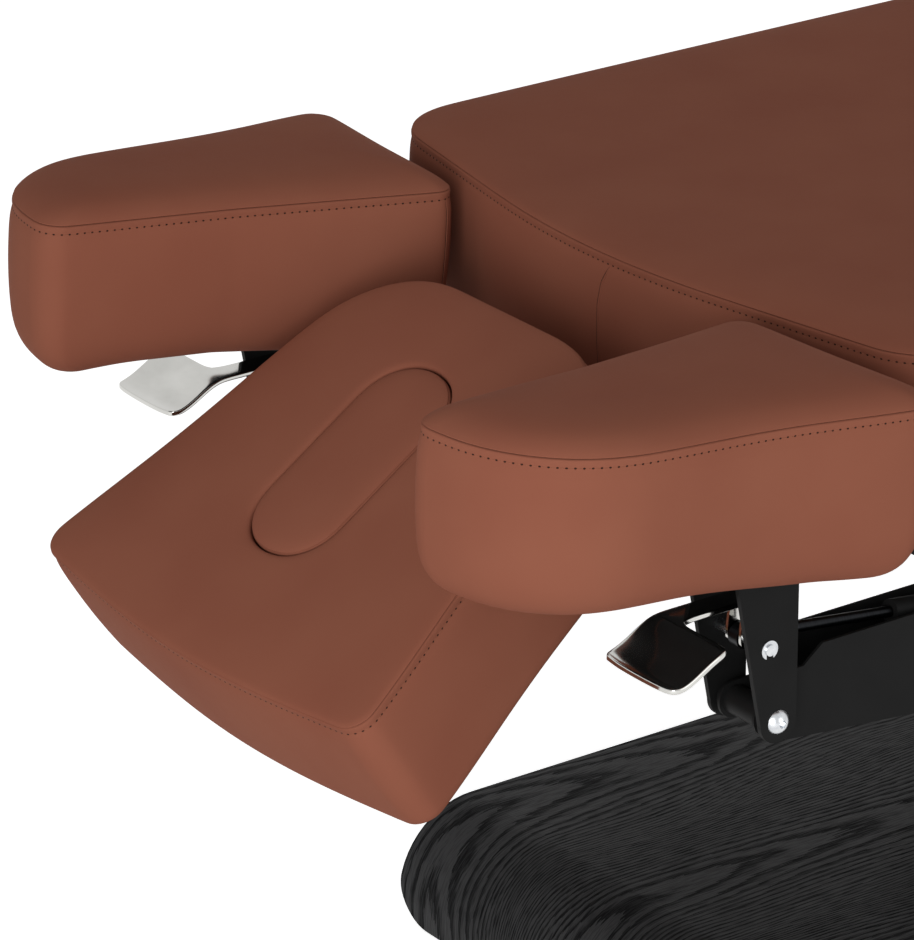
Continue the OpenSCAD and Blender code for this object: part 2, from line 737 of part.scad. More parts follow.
strut_cap = cyl_wall * 3;
cyl_share = 0.56;
piston_share = 0.42;

module strut_cylinder(length) {
    body = length * cyl_share;
    difference() {
        union() {
            rotate([90, 0, 0]) cylinder(d = eye_d, h = eye_w, center = true);
            rotate([0, -90, 0]) cylinder(d = eye_w * 0.8, h = eye_d);
            translate([-eye_d * 0.8, 0, 0]) rotate([0, -90, 0]) cylinder(d = cyl_d, h = body - eye_d * 0.8);
        }
        rotate([90, 0, 0]) cylinder(d = pin_d + fit * 2, h = eye_w + cut * 2, center = true);
        translate([-eye_d * 0.8 - strut_cap, 0, 0]) rotate([0, -90, 0])
            cylinder(d = cyl_d - cyl_wall * 2, h = body - eye_d * 0.8 - strut_cap * 2);
        translate([-body / 2, 0, 0]) rotate([0, -90, 0]) cylinder(d = rod_d + fit * 2, h = body);
    }
}

module strut_rod(length) {
    difference() {
        union() {
            translate([-length, 0, 0]) rotate([90, 0, 0]) cylinder(d = eye_d, h = eye_w, center = true);
            translate([-length + eye_d / 2 - cut, 0, 0]) rotate([0, 90, 0])
                cylinder(d = rod_d, h = length * (1 - piston_share) - eye_d / 2 + cut);
            translate([-length * piston_share, 0, 0]) rotate([0, 90, 0])
                cylinder(d = cyl_d - cyl_wall * 2 - fit * 2, h = strut_cap);
        }
        translate([-length, 0, 0]) rotate([90, 0, 0])
            cylinder(d = pin_d + open_play * 2, h = eye_w + cut * 2, center = true);
    }
}

module arm_strut_frame() {
    translate([rear_pin.x, beam_y, rear_pin.y]) rotate([0, strut_slope, 0]) children();
}

module strut_cylinder_left() { color(black_steel) placed() on_side("left") arm_strut_frame() strut_cylinder(strut_len); }
module strut_cylinder_right() { color(black_steel) placed() on_side("right") arm_strut_frame() strut_cylinder(strut_len); }
module strut_rod_left() { color(bright_steel) placed() on_side("left") arm_strut_frame() strut_rod(strut_len); }
module strut_rod_right() { color(bright_steel) placed() on_side("right") arm_strut_frame() strut_rod(strut_len); }

module rear_pin(side) {
    color(zinc) placed() on_side(side) union() {
        bar(rear_pin, pin_d, beam_y - beam_w / 2 - pin_over, beam_w + pin_over * 2);
        bar(rear_pin, pin_d * 1.5, beam_y + beam_w / 2 + fit, pin_over);
        bar(rear_pin, pin_d * 1.5, beam_y - beam_w / 2 - fit - pin_over, pin_over);
    }
}
module rear_pin_left() { rear_pin("left"); }
module rear_pin_right() { rear_pin("right"); }

// Headrest, drawn level and turned down by head_frame()

head_corners = [
    [-head_gap - head_len, -head_end_w / 2, head_end_r, pad_draw], [-head_gap, -head_foot_w / 2, head_foot_r, 0],
    [-head_gap, head_foot_w / 2, head_foot_r, pad_draw], [-head_gap - head_len, head_end_w / 2, head_end_r, -head_bow]
];
hole_round = 0.46;
hole_x = -head_gap - head_len / 2 + plug_back;
head_spine = [[hole_x - (plug_len - plug_w) / 2, 0], [hole_x + (plug_len - plug_w) / 2, 0]];
// Corners of the face hole or of a copy of it that is wider all round
function hole_corners(by) = let(l = plug_len / 2 + by, w = plug_w / 2 + by, r = w * 2 * hole_round) [
    [hole_x - l, -w, r, 0], [hole_x + l, -w, r, 0], [hole_x + l, w, r, 0], [hole_x - l, w, r, 0]];
head_outline = outline(head_corners, 5, 6);
hole_outline = outline(hole_corners(plug_gap), 5, 6);
hole_low_outline = outline(hole_corners(-plug_gap), 5, 6);

module headrest_cushion() {
    n = len(head_outline);
    top = [for (s = head_crown_shares)
        ring([for (i = [0:n - 1]) lerp(head_outline[i], hole_outline[i], s.x)], head_crown * s.y)];
    hole = [ring(grown(hole_outline, -plug_gap / 4), head_crown * 0.8), ring(hole_outline, 0),
        ring(hole_low_outline, -plug_depth), ring(hole_low_outline, -head_depth)];
    rings = concat(band_rings(head_outline, head_depth, head_hem_r, head_spine),
        [ring(head_outline, seam_groove * 1.6)], top, hole);
    color(leatherette) placed() head_frame() translate([0, 0, seam_z])
        polyhedron([for (q = rings) each q], wall_faces(len(rings), n, true));
}

module headrest_plug() {
    p = outline(hole_corners(0), 5, 4);
    low = outline(hole_corners(-plug_gap - seat_gap), 5, 4);
    spine = [for (q = p) on_spine(q, head_spine[0], head_spine[1])];
    n = len(p);
    rings = concat([ring(low, -plug_depth + seat_gap), ring(p, 0), ring(p, head_crown * 0.7),
        ring(grown(p, -seam_groove / 2), head_crown * 0.76), ring(p, head_crown * 0.82)],
        [for (s = plug_crown_shares) ring([for (i = [0:n - 1]) lerp(p[i], spine[i], s.x)],
            head_crown * 0.82 + (head_crown * 0.18 + plug_proud) * s.y)]);
    points = concat([for (q = rings) each q],
        [[hole_x, 0, -plug_depth + seat_gap], [hole_x, 0, head_crown + plug_proud]]);
    color(leatherette) placed() head_frame() translate([0, 0, seam_z])
        polyhedron(points, concat(wall_faces(len(rings), n), cap_faces(len(rings), n)));
}

module headrest_board() {
    color(plywood) placed() head_frame() translate([0, 0, head_board_z]) linear_extrude(board_t)
        difference() {
            polygon(drawn(head_outline, head_spine, board_in));
            polygon(outline(hole_corners(plug_gap), 5, 2));
        }
}

// The carrier's two cross bars lie just past the ends of the face hole
carrier_cross = carrier_h / 2;
hole_half = plug_len / 2 + plug_gap * 4;
carrier_front = hole_x - hole_half - carrier_cross;

// Side view of a carrier bar, from its hub on the shaft to the headrest's head end
module carrier_profile() {
    front = carrier_front;
    low = head_board_z - carrier_h;
    difference() {
        union() {
            translate(shaft) circle(d = sleeve_d);
            polygon([[front, head_board_z], [front, low + carrier_h / 2], [front + carrier_h / 2, low],
                [-head_gap, low], [shaft.x, shaft.y - sleeve_d / 2],
                [shaft.x, shaft.y + sleeve_d / 2], [-head_gap * 2, head_board_z]]);
        }
        translate(shaft) circle(d = shaft_d + fit * 2);
    }
}

module crank_lug(y) {
    slab(y, clevis_t) difference() {
        union() {
            translate(crank_level) circle(d = eye_d);
            translate(shaft) rotate(-90 - crank_back) translate([0, -eye_d / 2]) square([crank_r, eye_d]);
        }
        translate(shaft) circle(d = shaft_d + fit * 2);
        translate(crank_level) circle(d = pin_d + fit * 2);
    }
}

module headrest_carrier() {
    color(black_steel) placed() head_frame() union() {
        slab(carrier_y, carrier_t) carrier_profile();
        slab(-carrier_y - carrier_t, carrier_t) carrier_profile();
        for (x = [carrier_front, hole_x + hole_half])
            block([x, -carrier_y - cut, head_board_z - carrier_plate_t],
                [x + carrier_cross, carrier_y + cut, head_board_z]);
        difference() {
            bar(shaft, sleeve_d, -carrier_y - cut, carrier_w + cut * 2);
            bar(shaft, shaft_d + fit * 2, -carrier_w, carrier_w * 2);
        }
        crank_lug(strut_lug_y);
        crank_lug(-strut_lug_y - clevis_t);
    }
}

module headrest_shaft() {
    half = ear_y + carrier_t + fit * 20;
    collar_t = carrier_t / 2;
    color(bright_steel) placed() union() {
        bar(shaft, shaft_d, -half - collar_t, (half + collar_t) * 2);
        bar(shaft, shaft_d * 1.4, half, collar_t);
        bar(shaft, shaft_d * 1.4, -half - collar_t, collar_t);
    }
}

module head_strut_frame() { translate([head_rear_pin.x, 0, head_rear_pin.y]) children(); }
module headrest_strut_cylinder() { color(black_steel) placed() head_strut_frame() strut_cylinder(head_strut_run); }
module headrest_strut_rod() { color(bright_steel) placed() head_strut_frame() strut_rod(head_strut_run); }
module headrest_strut_pin() {
    half = strut_lug_y + clevis_t + pin_over;
    color(zinc) placed() head_frame() bar(crank_level, pin_d, -half, half * 2);
}
module headrest_rear_pin() {
    half = strut_lug_y + clevis_t + pin_over;
    color(zinc) placed() bar(head_rear_pin, pin_d, -half, half * 2);
}

// Lift columns: three stages of tube that slide on glides

module column_tube(x, l, w, z, h) {
    difference() {
        block([x - l / 2, -w / 2, z], [x + l / 2, w / 2, z + h]);
        block([x - l / 2 + column_wall, -w / 2 + column_wall, z - cut],
            [x + l / 2 - column_wall, w / 2 - column_wall, z + h + cut]);
    }
}

// Four glide pads that stand on the inside of a tube's mouth
module glide_pads(x, l, w, z) {
    t = column_gap - glide_play;
    for (s = [-1, 1]) {
        block([x - l / 4, s * (w / 2 - t / 2) - t / 2, z - glide_h], [x + l / 4, s * (w / 2 - t / 2) + t / 2, z]);
        block([x + s * (l / 2 - t / 2) - t / 2, -w / 4, z - glide_h], [x + s * (l / 2 - t / 2) + t / 2, w / 4, z]);
    }
}

stage_l = [column_l, column_l - step_in * 2, column_l - step_in * 4];
stage_w = [column_w, column_w - step_in * 2, column_w - step_in * 4];

module column_outer_tubes() {
    color(alloy) placed() for (x = columns_x) column_tube(x, stage_l[0], stage_w[0], column_z, column_h);
}
module column_middle_tubes() {
    color(alloy) placed() for (x = columns_x)
        column_tube(x, stage_l[1], stage_w[1], middle_top - middle_h, middle_h);
}
module column_inner_tubes() {
    color(alloy) placed() for (x = columns_x) union() {
        column_tube(x, stage_l[2], stage_w[2], inner_top - inner_h, inner_h);
        block([x - cross_w * 2, -column_w, inner_top], [x + cross_w * 2, column_w, inner_top + head_plate_t]);
    }
}
module outer_glides() {
    color(black_plastic) placed() for (x = columns_x)
        glide_pads(x, stage_l[0] - column_wall * 2, stage_w[0] - column_wall * 2, column_top);
}
module inner_glides() {
    color(black_plastic) placed() for (x = columns_x)
        glide_pads(x, stage_l[1] - column_wall * 2, stage_w[1] - column_wall * 2, middle_top);
}

// Lifting screws, which stand on the column plates, and their nuts in the inner tubes
spindle_d = column_w * 0.18;
nut_z = inner_top - inner_h;

module lift_spindles() {
    color(bright_steel) placed() for (x = columns_x) union() {
        translate([x, 0, column_z]) cylinder(d = spindle_d, h = nut_z + lift_half + nut_h * 0.75 - column_z);
        translate([x, 0, column_z]) cylinder(d = spindle_d * 2, h = spindle_d / 2);
    }
}

nut_h = spindle_d * 1.4;
module spindle_nuts() {
    l = stage_l[2] - column_wall * 2 - fit * 2;
    w = stage_w[2] - column_wall * 2 - fit * 2;
    color(alloy) placed() for (x = columns_x) difference() {
        block([x - l / 2, -w / 2, nut_z], [x + l / 2, w / 2, nut_z + nut_h]);
        translate([x, 0, nut_z - cut]) cylinder(d = spindle_d + fit * 2, h = nut_h + cut * 2);
    }
}

// Plinth: steel frame, bentwood cover, side panels and feet

cross_foot_w = base_w - cover_t * 6;
standoff_w = base_tube_w * 0.6;
standoff_y = cross_foot_w / 2 - standoff_w;

module base_frame() {
    color(black_steel) placed() union() {
        for (s = [-1, 1]) tube_x(cross_foot_x[0] + cut, cross_foot_x[1] + base_tube_w - cut, s * base_tube_y, base_z,
            base_tube_w, base_tube_h, rail_wall);
        for (x = cross_foot_x) {
            block([x, -cross_foot_w / 2, base_z], [x + base_tube_w, cross_foot_w / 2, base_plate_z]);
            for (s = [-1, 1]) block([x + base_tube_w / 2 - standoff_w / 2, s * standoff_y - standoff_w / 2, base_plate_z - cut],
                [x + base_tube_w / 2 + standoff_w / 2, s * standoff_y + standoff_w / 2, base_h - cover_t]);
        }
        for (x = columns_x) block([x - column_l * 0.65, -column_w, base_plate_z],
            [x + column_l * 0.65, column_w, column_z]);
    }
}

// Side view of the plinth: flat on top, bent down at both ends, moved in by a distance
module plinth_profile(by, low) {
    r = bend_r - by;
    intersection() {
        union() {
            for (x = [base_start + bend_r, base_stop - bend_r]) translate([x, base_h - bend_r]) circle(r = r, $fn = 96);
            translate([base_start + bend_r, base_h - bend_r]) square([base_len - bend_r * 2, r]);
            translate([base_start + by, low - cut]) square([base_len - by * 2, base_h - bend_r - low + cut]);
        }
        translate([base_start - cut, low]) square([base_len + cut * 2, base_h]);
    }
}

module base_cover() {
    hole_play = column_gap / 2;
    color(black_ash) placed() difference() {
        slab(-base_w / 2, base_w) plinth_profile(0, floor_gap);
        slab(-base_w / 2 - cut, base_w + cut * 2) plinth_profile(cover_t, floor_gap - cut);
        for (x = columns_x) block([x - column_l / 2 - hole_play, -column_w / 2 - hole_play, base_h - cover_t - cut],
            [x + column_l / 2 + hole_play, column_w / 2 + hole_play, base_h + cut]);
        for (end = [0, 1], s = [0, 1])
            translate([mid_x, 0, 0]) mirror([end, 0, 0]) translate([-base_len, 0, 0]) mirror([0, s, 0])
                cover_corner_cut();
    }
}

// What rounds off one lower corner of a cover's end
module cover_corner_cut() {
    r = cover_corner_r;
    rotate([90, 0, 90]) linear_extrude(base_len * 0.8) translate([base_w / 2 - r, floor_gap + r]) difference() {
        translate([0, -r - cut]) square([r + cut, r + cut]);
        circle(r = r);
    }
}

// The inlet's socket and the rocker's window share one housing in the far side panel
inlet_x = columns_x[1] + column_l;
inlet_z = base_plate_z;
inlet_wall = inlet_h / 9;
rocker_w = inlet_w / 2;
inlet_start = inlet_x - inlet_w / 2;
inlet_stop = inlet_x + inlet_w / 2 + rocker_w + inlet_wall;
rocker_x = inlet_x + inlet_w / 2 + rocker_w / 2;
rocker_at = [side_y - cover_t / 2, inlet_z + inlet_h / 2];
rocker_pin_d = inlet_wall;

module side_panels() {
    pedal_hole = pin_d * 1.6;
    color(black_ash) placed() difference() {
        for (y = [side_y - cover_t, -side_y]) slab(y, cover_t) plinth_profile(cover_t + seat_gap, floor_gap);
        block([inlet_start, side_y - cover_t - cut, inlet_z], [inlet_stop, side_y + cut, inlet_z + inlet_h]);
        bar([mid_x, pedal_z], pedal_hole, -side_y - cut, cover_t + cut * 2);
    }
}

module rubber_feet() {
    color(rubber) placed() for (x = cross_foot_x, s = [-1, 1])
        translate([x + base_tube_w / 2, s * (cross_foot_w / 2 - foot_d / 2), 0]) cylinder(d = foot_d, h = foot_h);
}

// Drive: two gear motors, the control box, the inlet with its switch, and the foot pedal

motor_d = base_h - cover_t - column_z - rail_wall;
motor_l = column_pitch * 0.19;

module lift_motors() {
    z = column_z + motor_d / 2 + seat_gap;
    gear_l = motor_l / 3;
    color(black_steel) placed() for (i = [0, 1]) translate([columns_x[i], 0, z]) mirror([i, 0, 0])
        translate([column_l / 2, 0, 0]) union() {
            translate([0, -motor_d / 2, -motor_d / 2]) cube([gear_l, motor_d, motor_d]);
            translate([gear_l - cut, 0, 0]) rotate([0, 90, 0]) cylinder(d = motor_d, h = motor_l - gear_l + cut);
        }
}

module control_box() {
    l = column_pitch * 0.22;
    w = column_w - standoff_w - rail_wall;
    h = base_h - cover_t - base_plate_z - rail_wall * 2;
    rib = rail_wall;
    color(black_plastic) placed() difference() {
        block([mid_x - l / 2, -w, base_plate_z], [mid_x + l / 2, w, base_plate_z + h]);
        for (i = [-3:3]) block([mid_x - l / 2 + rib * 2, i * rib * 6 - rib / 2, base_plate_z + h - rib / 2],
            [mid_x + l / 2 - rib * 2, i * rib * 6 + rib / 2, base_plate_z + h + cut]);
    }
}

// Appliance inlet with a flange, a socket, three blades and the window of the switch
module mains_inlet() {
    flange = cover_t * 0.3;
    back = side_y - cover_t * 3;
    blade = inlet_h * 0.1;
    middle = [inlet_x, inlet_z + inlet_h / 2];
    window_y = rocker_at.x - cover_t * 0.35;
    color(black_plastic) placed() union() {
        difference() {
            union() {
                block([inlet_start + seat_gap, back, inlet_z + seat_gap],
                    [inlet_stop - seat_gap, side_y + flange, inlet_z + inlet_h - seat_gap]);
                block([inlet_start - inlet_wall, side_y, inlet_z - inlet_wall],
                    [inlet_stop + inlet_wall, side_y + flange, inlet_z + inlet_h + inlet_wall]);
            }
            block([middle.x - inlet_w / 4, back + inlet_wall, middle.y - inlet_h * 0.28],
                [middle.x + inlet_w / 4, side_y + flange + cut, middle.y + inlet_h * 0.28]);
            block([rocker_x - rocker_w / 2, window_y, inlet_z + seat_gap * 2],
                [rocker_x + rocker_w / 2, side_y + flange + cut, inlet_z + inlet_h - seat_gap * 2]);
            translate([rocker_x, rocker_at.x, rocker_at.y]) rotate([0, 90, 0])
                cylinder(d = rocker_pin_d + fit * 2, h = rocker_w + inlet_wall, center = true);
        }
        for (p = [[-0.14, -0.08], [0.14, -0.08], [0, 0.1]])
            block([middle.x + inlet_w * p.x - blade / 3, back, middle.y + inlet_h * p.y - blade],
                [middle.x + inlet_w * p.x + blade / 3, side_y - cover_t * 0.8, middle.y + inlet_h * p.y + blade]);
    }
}

// Rocker of the mains switch, with the stubs on which it tips
module mains_switch() {
    half = inlet_h / 2 - inlet_wall * 0.6;
    color(black_plastic) placed() translate([rocker_x, rocker_at.x, rocker_at.y]) rotate([0, 90, 0]) union() {
        linear_extrude(rocker_w - seat_gap * 2, center = true)
            polygon([[-half, cover_t * 0.2], [-half, cover_t * 0.75], [0, cover_t * 0.55], [half, cover_t * 0.75],
                [half, cover_t * 0.2], [half / 3, -cover_t * 0.2], [-half / 3, -cover_t * 0.2]]);
        cylinder(d = rocker_pin_d, h = rocker_w + inlet_wall - seat_gap, center = true);
    }
}

pedal_z = base_h / 2;
module foot_pedal() {
    t = rail_wall * 1.5;
    hub_d = pin_d * 2.4;
    out = side_y + cover_t;
    tread_z = pedal_z + hub_d * 0.6;
    color(black_steel) placed() difference() {
        union() {
            slab(-out - pedal_w, pedal_w) translate([mid_x, pedal_z]) circle(d = hub_d);
            slab(-out - pedal_w, pedal_w) polygon([
                [mid_x - pedal_len / 2, tread_z - t * 2], [mid_x - pedal_len / 2 + t, tread_z - t * 2.6],
                [mid_x - pedal_len * 0.32, tread_z - t], [mid_x, tread_z - t * 1.4],
                [mid_x + pedal_len * 0.32, tread_z - t], [mid_x + pedal_len / 2 - t, tread_z - t * 2.6],
                [mid_x + pedal_len / 2, tread_z - t * 2], [mid_x + pedal_len * 0.34, tread_z],
                [mid_x - pedal_len * 0.34, tread_z]]);
        }
        bar([mid_x, pedal_z], pin_d + fit * 2, -out - pedal_w - cut, pedal_w + cut * 2);
    }
}

// Pin of the foot pedal, in a bearing block on the plinth's frame
module pedal_pin() {
    far = side_y + cover_t + pedal_w + pin_over;
    root = column_w - standoff_w;
    color(zinc) placed() union() {
        bar([mid_x, pedal_z], pin_d, -far, far - root);
        bar([mid_x, pedal_z], pin_d * 1.5, -far, pin_over - fit * 2);
        block([mid_x - pin_d, -column_w, base_plate_z], [mid_x + pin_d, -root, pedal_z + pin_d]);
    }
}

main_cushion();
main_board();
top_frame();
arm_cushion_left();
arm_cushion_right();
arm_board_left();
arm_board_right();
arm_bracket_left();
arm_bracket_right();
pivot_bolt_left();
pivot_bolt_right();
strut_pin_left();
strut_pin_right();
pin_clips_left();
pin_clips_right();
release_lever_left();
release_lever_right();
arm_beam_left();
arm_beam_right();
strut_cylinder_left();
strut_cylinder_right();
strut_rod_left();
strut_rod_right();
rear_pin_left();
rear_pin_right();
headrest_cushion();
headrest_plug();
headrest_board();
headrest_carrier();
headrest_shaft();
headrest_strut_cylinder();
headrest_strut_rod();
headrest_strut_pin();
headrest_rear_pin();
column_inner_tubes();
column_middle_tubes();
column_outer_tubes();
inner_glides();
outer_glides();
lift_spindles();
spindle_nuts();
base_frame();
base_cover();
side_panels();
rubber_feet();
lift_motors();
control_box();
mains_inlet();
mains_switch();
foot_pedal();
pedal_pin();
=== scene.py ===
"""Looks of an electric massage table: leatherette cushions with sewn seams, polished release
levers, black powder-coated steel and a plinth in black-stained ash. Lengths are in millimetres
until a mesh is made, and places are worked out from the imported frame."""

import json
import math

import bpy
import numpy as np
from mathutils import Matrix, Vector


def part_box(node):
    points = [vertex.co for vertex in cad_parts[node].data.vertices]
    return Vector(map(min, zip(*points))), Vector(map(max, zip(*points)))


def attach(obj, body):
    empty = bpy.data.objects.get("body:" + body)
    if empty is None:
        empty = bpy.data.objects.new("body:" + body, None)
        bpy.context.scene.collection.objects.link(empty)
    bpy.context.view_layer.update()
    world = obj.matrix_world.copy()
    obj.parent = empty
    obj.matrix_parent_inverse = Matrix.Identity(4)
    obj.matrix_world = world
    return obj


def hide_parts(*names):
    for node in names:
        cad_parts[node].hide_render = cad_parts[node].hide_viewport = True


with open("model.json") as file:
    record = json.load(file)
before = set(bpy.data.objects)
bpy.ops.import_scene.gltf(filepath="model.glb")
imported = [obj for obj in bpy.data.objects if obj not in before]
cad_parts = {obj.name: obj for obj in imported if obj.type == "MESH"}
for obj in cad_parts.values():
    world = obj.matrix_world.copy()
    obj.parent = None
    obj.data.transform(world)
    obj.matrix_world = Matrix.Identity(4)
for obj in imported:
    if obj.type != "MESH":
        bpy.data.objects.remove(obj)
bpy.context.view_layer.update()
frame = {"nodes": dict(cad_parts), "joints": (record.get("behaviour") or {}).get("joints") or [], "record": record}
MM = 0.001

# What the frame gives

JOINTS = {joint["name"]: joint for joint in frame["joints"]}
NODE_BODY = {node: body for body, nodes in frame["record"]["behaviour"]["bodies"].items() for node in nodes}

# Driving sizes of the main cushion and of every cover, as in the construction, but for the head
# corners, round which the cover is drawn tighter

MAIN_W = 790
MAIN_HEAD_R = 78
MAIN_FOOT_R = 90
MAIN_BOW = 70
MAIN_BOW_R = 900
PAD_DEPTH = 150
PAD_CROWN = 13
PAD_SWELL = 3
PAD_DRAW = 4
HEM_R = 30
BOARD_T = 12
SEAT_GAP = 0.3

main_low, main_high = (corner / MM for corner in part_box("main_cushion"))
HEAD_SEAM_X = main_low.x + PAD_SWELL
MAIN_LEN = main_high.x - PAD_SWELL - HEAD_SEAM_X
SEAM_Z = main_high.z - PAD_CROWN


# Camera: frame and focal length in pixels of the photograph, angles in degrees

FRAME_PIXELS = (914, 940)
LENS_PIXELS = 5621.3
SENSOR_W = 36
CAMERA_FROM_SEAM = (-2779.1, -3735.9, 1725.4)
CAMERA_AZIMUTH = -35.152
CAMERA_ELEVATION = 22.576
CAMERA_ROLL = -0.553


def make_camera():
    """Camera at the photograph's place and angle, measured from the middle of the main head seam."""
    data = bpy.data.cameras.new("camera")
    data.sensor_width = SENSOR_W
    data.lens = LENS_PIXELS / max(FRAME_PIXELS) * data.sensor_width
    data.clip_start = 0.1
    data.clip_end = 60
    camera = bpy.data.objects.new("camera", data)
    bpy.context.scene.collection.objects.link(camera)
    turn = (Matrix.Rotation(math.radians(CAMERA_AZIMUTH), 4, "Z")
            @ Matrix.Rotation(math.radians(90 - CAMERA_ELEVATION), 4, "X")
            @ Matrix.Rotation(math.radians(CAMERA_ROLL), 4, "Z"))
    seam = Vector((HEAD_SEAM_X, 0, SEAM_Z))
    camera.matrix_world = Matrix.Translation((seam + Vector(CAMERA_FROM_SEAM)) * MM) @ turn
    bpy.context.scene.camera = camera


# Materials

def linear(text):
    """Linear colour of an sRGB hex value."""
    channels = [int(text[i:i + 2], 16) / 255 for i in (1, 3, 5)]
    return [c / 12.92 if c <= 0.04045 else ((c + 0.055) / 1.055) ** 2.4 for c in channels] + [1.0]


def new_material(name):
    material = bpy.data.materials.new(name)
    material.use_nodes = True
    material.node_tree.nodes.clear()
    return material


def add(material, kind, links=None, **settings):
    """Adds a node with its settings, and links its sockets to other nodes' outputs, or to the first
    output of a node. stops are a ramp's places and colours, and values are the numbers of sockets
    that a keyword can't name."""
    node = material.node_tree.nodes.new(kind)
    for key, value in settings.items():
        if key == "stops":
            ramp = node.color_ramp
            while len(ramp.elements) < len(value):
                ramp.elements.new(0.5)
            for element, (place, colour) in zip(ramp.elements, value):
                element.position = place
                element.color = linear(colour)
        elif key == "values":
            for socket, number in value.items():
                node.inputs[socket].default_value = number
        elif hasattr(node, key):
            setattr(node, key, value)
        else:
            node.inputs[key.replace("_", " ")].default_value = value
    for socket, source in (links or {}).items():
        output = source.outputs[0] if isinstance(source, bpy.types.Node) else source
        material.node_tree.links.new(output, node.inputs[socket])
    return node


def leatherette(name, dark, pale):
    """Polyurethane leatherette, embossed with a fine pebble and drawn over foam: satin and even, its
    pebble only felt close by, with the faint unevenness of the foam under it."""
    material = new_material(name)
    place = add(material, "ShaderNodeTexCoord").outputs["Object"]
    pebble = add(material, "ShaderNodeTexVoronoi", {"Vector": place}, feature="SMOOTH_F1",
        Scale=1 / (1.3 * MM))
    creases = add(material, "ShaderNodeTexNoise", {"Vector": place}, Scale=1 / (9 * MM), Detail=4.0)
    foam = add(material, "ShaderNodeTexNoise", {"Vector": place}, Scale=1 / (110 * MM), Detail=2.0)
    colour = add(material, "ShaderNodeValToRGB", {"Fac": foam}, stops=[(0.3, dark), (0.7, pale)])
    satin = add(material, "ShaderNodeMapRange", {"Value": creases},
        values={"To Min": 0.66, "To Max": 0.78})
    uneven = add(material, "ShaderNodeBump", {"Height": foam}, Strength=0.35, Distance=1.6 * MM)
    creased = add(material, "ShaderNodeBump", {"Height": creases, "Normal": uneven},
        Strength=0.2, Distance=0.14 * MM)
    grain = add(material, "ShaderNodeBump", {"Height": pebble, "Normal": creased},
        Strength=0.18, Distance=0.1 * MM)
    shader = add(material, "ShaderNodeBsdfPrincipled",
        {"Base Color": colour, "Roughness": satin, "Normal": grain}, values={"Specular IOR Level": 0.03})
    add(material, "ShaderNodeOutputMaterial", {"Surface": shader})
    return material


def thread(name, dark, pale):
    """Bonded polyester sewing thread, twisted from three yarns: a small sheen broken by the twist."""
    material = new_material(name)
    place = add(material, "ShaderNodeTexCoord").outputs["Object"]
    twist = add(material, "ShaderNodeTexNoise", {"Vector": place}, Scale=1 / (0.7 * MM), Detail=1.0)
    colour = add(material, "ShaderNodeValToRGB", {"Fac": twist}, stops=[(0.35, dark), (0.65, pale)])
    bump = add(material, "ShaderNodeBump", {"Height": twist}, Strength=0.5, Distance=0.1 * MM)
    shader = add(material, "ShaderNodeBsdfPrincipled", {"Base Color": colour, "Normal": bump},
        Roughness=0.6, values={"Specular IOR Level": 0.06})
    add(material, "ShaderNodeOutputMaterial", {"Surface": shader})
    return material


def powder_coat():
    """Mild steel, powder coated in satin black: deep black with the slight orange peel of the melt."""
    material = new_material("satin_black_powder_coat")
    place = add(material, "ShaderNodeTexCoord").outputs["Object"]
    peel = add(material, "ShaderNodeTexNoise", {"Vector": place}, Scale=1 / (1.8 * MM), Detail=2.0)
    dust = add(material, "ShaderNodeTexNoise", {"Vector": place}, Scale=1 / (60 * MM), Detail=3.0)
    colour = add(material, "ShaderNodeValToRGB", {"Fac": dust}, stops=[(0.3, "#171717"), (0.7, "#1C1C1C")])
    satin = add(material, "ShaderNodeMapRange", {"Value": dust}, values={"To Min": 0.42, "To Max": 0.52})
    bump = add(material, "ShaderNodeBump", {"Height": peel}, Strength=0.25, Distance=0.08 * MM)
    shader = add(material, "ShaderNodeBsdfPrincipled",
        {"Base Color": colour, "Roughness": satin, "Normal": bump}, values={"Specular IOR Level": 0.06})
    add(material, "ShaderNodeOutputMaterial", {"Surface": shader})
    return material


# Annual rings of the plinth's veneer, the leaves that lie side by side, each the mirror image of the
# last, and how far the leaves' middle wanders and the rings wave and fray
RING_W = 3.4
LEAF_W = 230
CROWN_R = 120
PITH_SLOPE = 0.026
LEAF_WANDER = 70
RING_WAVES = 4
RING_FRAY = 2.4


